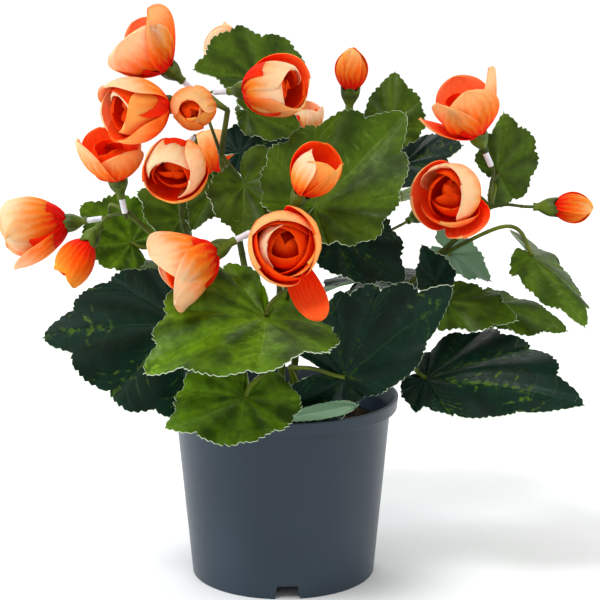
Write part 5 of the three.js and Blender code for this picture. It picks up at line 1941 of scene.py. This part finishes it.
BLOOMS = (
    Bloom("bloom_top_left", (-54, -35, 265), (-0.7, -0.25, 0.65), 33, (
        Petal((0.5, -0.7, 0.6), 1.12, 0.8, 1.0, 0.15, 0.7, 0.4, pointed=0.9, root=2.6),
        Petal((-0.35, -0.9, 0.1), 1.08, 1.15, 1.05, -0.05, 0.85, 0.85),
        Petal((-0.6, 0.4, -0.7), 0.9, 1.0, 1.15, -0.05, 0.9, 0.7),
        Petal((0.3, 1, 0.1), 0.9, 1.0, 1.1, -0.1, 1.0, 0.5)), TULIP_HEART),
    Bloom("bloom_left_front", (-54, -55, 250), (-0.75, -0.6, -0.05), 34, (
        Petal((-0.1, 0.5, 1), 1.08, 1.1, 1.25, -0.55, 1.0, 0.7),
        Petal((-0.6, 0.8, -0.2), 1.0, 1.0, 1.25, -0.45, 1.0, 0.6),
        Petal((-0.2, -0.3, -1), 1.05, 1.15, 1.3, -0.5, 1.1, 0.2),
        Petal((0.6, -0.7, -0.45), 1.0, 1.1, 1.15, -0.6, 1.1, 0.15),
        Petal((0, -0.2, 1), 1.0, 1.15, 1.3, -0.85, 1.1, 0.9)), ROSE_HEART),
    Bloom("bloom_left_half", (-40, -50, 248), (-0.1, -0.95, 0.1), 20, (
        Petal((-0.7, 0, -0.7), 1.25, 1.15, 1.3, -0.9, 1.0, 0.1),
        Petal((0.5, 0, -0.8), 1.25, 1.15, 1.3, -0.9, 1.0, 0.1),
        Petal((1, 0, 0.2), 1.3, 1.05, 1.3, -1.0, 1.0, 0.3, pointed=0.4),
        Petal((-0.3, 0, 1), 1.4, 1.25, 1.3, -1.1, 1.0, 0.4)), (Whorl(replace(CORE, length=1.15), 3),)),
    Bloom("bloom_left_centre", (-46, -62, 228), (-0.2, -0.9, -0.3), 30, (
        Petal((0.2, 0, -1), 1.08, 1.2, 1.35, -0.5, 1.0, 0.1),
        Petal((-1, 0, -0.3), 1.08, 1.1, 1.35, -0.55, 1.0, 0.3),
        Petal((1, 0, 0.0), 1.15, 1.05, 1.35, -0.7, 1.1, 0.75),
        Petal((-0.35, 0, 1), 1.12, 1.25, 1.35, -0.85, 1.1, 0.8)), ROSE_HEART),
    Bloom("bloom_left_cup", (-79, -45, 212), (-0.15, -0.3, 0.93), 28, (
        Petal((-0.8, -0.6, 0), 1.2, 0.85, 1.2, -0.25, 0.9, 0.55, pointed=0.3),
        Petal((0.45, -0.8, 0), 0.86, 1.2, 1.3, -0.1, 0.9, 0.3),
        Petal((0.9, 0.5, 0), 0.95, 1.0, 1.3, -0.1, 1.0, 0.3),
        Petal((-0.3, 1, 0), 1.0, 1.1, 1.2, -0.2, 1.0, 0.3)), TULIP_HEART),
    Bloom("bloom_top_centre", (-18, -45, 256), (0.85, -0.5, 0.1), 34, (
        Petal((0.3, 1, 0.2), 1.02, 1.15, 1.25, -0.5, 1.0, 0.3),
        Petal((0.2, 0.3, -1), 1.0, 1.2, 1.25, -0.6, 1.05, 0.3),
        Petal((-0.5, -0.85, -0.25), 0.92, 1.1, 1.2, -0.6, 1.0, 0.85),
        Petal((-0.1, -0.2, 1), 1.0, 1.2, 1.2, -0.7, 1.1, 0.75)), ROSE_HEART),
    Bloom("bloom_top_back", (-24, 25, 266), (-0.7, 0.2, 0.7), 20, (),
          (Whorl(replace(TULIP, paleness=0.9), 4), Whorl(LINING, 2))),
    Bloom("bud_top", (34, 0, 251), (0.05, -0.1, 1), 26, (
        replace(CLOSED, toward=BACK), replace(CLOSED, toward=(1, -0.3, 0)),
        replace(CLOSED, toward=(-0.8, -0.8, 0), root=1.9, paleness=0.3)), sleeved=False),
    Bloom("bloom_centre_half", (9, -85, 211), (0.45, -0.3, 0.8), 26, (
        replace(CLOSED, toward=(0, 1, 0.4), length=1.1, width=1.1, start=1.1, end=-0.6, pointed=0.2),
        replace(CLOSED, toward=(1, 0.1, -0.5), start=1.1, end=-0.45, width=1.0),
        replace(CLOSED, toward=(0.3, -1, -0.2), start=1.1, end=-0.6, width=1.0, paleness=0.15),
        replace(CLOSED, toward=(-1, -0.5, 0.4), start=1.2, end=-0.8, width=1.0, paleness=0.9, root=1.9,
                pointed=0.2)), (Whorl(CORE, 3),)),
    Bloom("bloom_behind_centre", (12, 24, 226), (0, -0.1, 1), 18, (),
          (Whorl(replace(TULIP, paleness=1.0), 4), Whorl(LINING, 2))),
    Bloom("bloom_right_top", (96, -30, 232), (-0.4, -0.25, 0.85), 33, (
        Petal((0, 1, 0.2), 0.98, 1.0, 1.1, -0.15, 0.9, 0.5, pointed=0.4),
        Petal((-0.7, -0.7, -0.2), 1.0, 0.9, 1.05, -0.1, 0.85, 0.4, pointed=0.6),
        Petal((-1, -0.2, -0.4), 0.95, 0.7, 1.2, 0.3, 0.8, 0.4, pointed=0.8, root=2.2),
        Petal((0.9, -0.35, 0.3), 1.15, 0.75, 1.0, 0.0, 0.8, 0.6, pointed=0.9),
        Petal((0.15, -1, 0), 1.08, 0.9, 1.1, -0.15, 0.8, 0.35, pointed=0.7)), TULIP_HEART),
    Bloom("bloom_right_front", (90, -30, 203), (-0.45, -0.85, 0.15), 32, (
        Petal((-0.1, 0, -1), 1.0, 1.1, 1.35, -0.45, 1.0, 0.2),
        Petal((0.55, 0, -0.9), 1.12, 0.75, 1.4, 0.0, 0.9, 0.4, pointed=0.8),
        Petal((-1, 0.3, -0.1), 1.12, 1.2, 1.4, -0.4, 1.0, 0.35),
        Petal((-0.3, 0.1, 1), 1.02, 1.15, 1.35, -0.5, 1.1, 0.7),
        Petal((0.9, -0.2, 0.4), 1.12, 1.2, 1.3, -0.65, 1.1, 0.7)), ROSE_HEART),
    Bloom("bud_right", (132, -35, 198), (0.95, -0.15, 0), 23, (
        replace(CLOSED, toward=BACK), replace(CLOSED, toward=(0, -0.4, -1), width=1.05, paleness=0.1),
        replace(CLOSED, toward=(0, -0.4, 1), width=1.05, root=1.8, paleness=0.3)), sleeved=False),
    Bloom("bloom_far_left", (-109.5, 10, 183), (-0.95, 0.1, -0.15), 40, (
        Petal((0, 1, 0.1), 0.95, 1.1, 1.05, -0.3, 1.0, 0.6),
        Petal((0.1, -0.2, -1), 0.95, 0.95, 1.1, -0.05, 0.9, 0.75),
        Petal((0, -0.75, 0.7), 0.96, 1.15, 1.1, -0.35, 1.0, 0.8),
        Petal((0, -1, -0.5), 0.9, 1.0, 1.1, -0.35, 1.0, 0.5)), TULIP_HEART),
    Bloom("bloom_far_left_half", (-97, -10, 178), (-0.55, -0.2, -0.75), 25, (
        replace(CLOSED, toward=(0, 1, 0), end=-0.7, paleness=0.0, pointed=0.2),
        replace(CLOSED, toward=(-0.8, -0.4, 0.5), end=-0.7, paleness=0.0, pointed=0.2),
        replace(CLOSED, toward=(0.8, -0.6, -0.4), width=0.95, end=-0.55, length=1.1, paleness=0.0,
                pointed=0.1, root=2.0)), (Whorl(CORE, 3),), sleeved=False),
    Bloom("bloom_front_pale", (-29, -85, 186), (-0.85, -0.3, -0.4), 36, (
        Petal((0, 1, 0), 0.85, 1.0, 1.0, -0.2, 1.0, 0.8),
        Petal((0.35, -0.75, -0.6), 1.0, 1.15, 0.95, -0.05, 0.8, 0.85, pointed=0.5, root=2.4),
        Petal((-0.3, -0.75, 0.6), 1.05, 1.0, 0.95, 0.1, 0.85, 0.85, pointed=0.7)), TULIP_HEART),
    Bloom("bloom_front_rose", (2, -85, 189), (0, -0.95, 0.1), 33, (
        Petal((0.45, 0, -1), 1.25, 0.38, 1.45, 0.75, 0.7, 0.25),
        Petal((-0.8, 0, -0.7), 1.1, 1.25, 1.35, -0.45, 1.0, 0.25),
        Petal((0.8, 0, -0.6), 1.0, 1.15, 1.35, -0.5, 1.0, 0.1),
        Petal((1, 0, 0.4), 1.1, 1.15, 1.35, -0.5, 1.0, 0.2),
        Petal((-0.2, 0, 1), 1.08, 1.25, 1.35, -0.6, 1.0, 0.35),
        Petal((-1, 0, 0.2), 0.98, 1.1, 1.2, -0.7, 1.1, 0.95)),
        (Whorl(replace(LINING, length=0.98, end=-0.6), 3, 100),
         Whorl(replace(LINING, length=0.9, end=-0.9), 3, 40),
         Whorl(CORE, 2, 80))),
    Bloom("bloom_back_left", (-34, 66, 196), (-0.3, 0.7, 0.65), 32, (),
          (Whorl(TULIP, 4), *ROSE_HEART)),
    Bloom("bloom_back_right", (42, 64, 190), (0.3, 0.7, 0.6), 32, (),
          (Whorl(TULIP, 4, 30), *ROSE_HEART)),
    Bloom("bud_back", (74, 70, 178), (0.7, 0.6, 0.3), 24, (), (Whorl(CLOSED, 3),), False),
)

STALKS = (
    Stalk(
        "stalk_left",
        ((-12, -4, 55), (-13, -5, 88), (-30, -6, 125), (-46, -10, 155), (-62, -16, 178),
         (-77, -20, 193)),
        (Branch(3, ((-62, 6, 170),), "leaf_left_outer"),
         Branch(3, (), "leaf_left_inner"),
         Branch(5, ((-79, -32, 198),), "bloom_left_cup"),
         Branch(5, ((-86, -12, 196),), "bloom_far_left"),
         Branch(5, ((-86, -16, 191),), "bloom_far_left_half"))),
    Stalk(
        "stalk_upper_left",
        ((-5, 6, 55), (-6, 6, 88), (-14, 0, 130), (-22, -14, 180), (-28, -38, 215), (-29, -42, 224),
         (-26, -40, 246)),
        (Branch(5, (), "leaf_mid_left"),
         Branch(3, (), "leaf_mid_left_pale"),
         Branch(6, (), "bloom_top_centre"),
         Branch(6, (), "bloom_top_left"),
         Branch(6, (), "bloom_left_front"),
         Branch(5, (), "bloom_left_half"))),
    Stalk(
        "stalk_inner_left",
        ((-14, 6, 55), (-15, 6, 88), (-30, 2, 130), (-42, -8, 165), (-49, -30, 190), (-49, -42, 203)),
        (Branch(5, ((-41, -46, 211),), "bloom_left_centre"),)),
    Stalk(
        "stalk_front",
        ((-2, -12, 55), (-2, -13, 88), (0, -38, 122), (1, -60, 150), (3, -70, 172)),
        (Branch(4, (), "bloom_front_rose"),
         Branch(4, (), "bloom_front_pale"),
         Branch(4, (), "bloom_centre_half"),
         Branch(3, ((3, -80, 166),), "leaf_front_left"),
         Branch(2, ((-6, -68, 124),), "leaf_front_low"))),
    Stalk(
        "stalk_centre",
        ((4, 0, 55), (4, 0, 88), (8, -6, 130), (14, -12, 170), (19, -18, 200), (32, -2, 228)),
        (Branch(4, (), "leaf_centre"),
         Branch(3, (), "leaf_centre_low"),
         Branch(5, (), "bud_top"),
         Branch(5, ((42, 8, 222),), "leaf_top_right"),
         Branch(4, (), "bloom_behind_centre"))),
    Stalk(
        "stalk_right",
        ((12, -2, 55), (13, -2, 88), (35, -8, 120), (58, -11, 148), (78, -15, 170), (104, -15, 195)),
        (Branch(5, ((104, -16, 206),), "bloom_right_top"),
         Branch(5, (), "bloom_right_front"),
         Branch(5, ((111, -20, 197),), "bud_right"),
         Branch(5, ((107, -8, 204),), "leaf_right_upper"),
         Branch(4, ((110, -26, 187), (117, -36, 186)), "leaf_right_drooping"),
         Branch(4, (), "leaf_right_inner"),
         Branch(3, (), "leaf_stalk_small"),
         Branch(3, ((72, -11, 146),), "leaf_right_lower"),
         Branch(3, ((86, 0, 146),), "leaf_right_pointed"))),
    Stalk(
        "stalk_low_left",
        ((-13, -13, 55), (-14, -14, 88), (-20, -22, 110), (-30, -34, 132)),
        (Branch(3, (), "leaf_low_left"),)),
    Stalk(
        "stalk_low_right",
        ((12, -13, 55), (12, -14, 88), (8, -26, 104), (4, -38, 118)),
        (Branch(3, ((15, -48, 120),), "leaf_front_right"),
         Branch(1, ((36, -22, 116), (60, -28, 121)), "leaf_low_right"))),
    Stalk(
        "stalk_back",
        ((0, 14, 55), (0, 15, 88), (-2, 25, 120), (-2, 34, 160), (-4, 36, 200), (-12, 30, 232)),
        (Branch(5, (), "leaf_top"),
         Branch(5, ((-16, 16, 243),), "leaf_top_under"),
         Branch(5, ((-20, 28, 246),), "bloom_top_back"),
         Branch(4, (), "leaf_behind_centre"),
         Branch(3, ((1, 46, 178),), "leaf_back_upper"),
         Branch(3, (), "bloom_back_left"),
         Branch(3, (), "bloom_back_right"),
         Branch(3, ((30, 30, 180),), "leaf_back_side"),
         Branch(3, ((40, 16, 196), (54, 13, 206)), "leaf_behind_right"),
         Branch(2, (), "leaf_back_left"),
         Branch(2, (), "leaf_back_right"),
         Branch(2, (), "leaf_back_low"),
         Branch(3, ((40, 50, 165),), "bud_back"))),
)


def main() -> None:
    """Builds and dresses the plant round its frame, then sets up the studio."""
    logging.basicConfig(level=logging.INFO, format="%(name)s %(message)s")
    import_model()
    pot = Pot()
    pot.build()
    Fill(pot).build()
    Stems(STALKS, {leaf.name: leaf for leaf in LEAVES}, {bloom.name: bloom for bloom in BLOOMS}).build()
    Foliage(LEAVES, FLAP).build()
    Blossom(BLOOMS).build()
    Studio().build()
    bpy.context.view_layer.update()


if __name__ == "__main__":
    main()
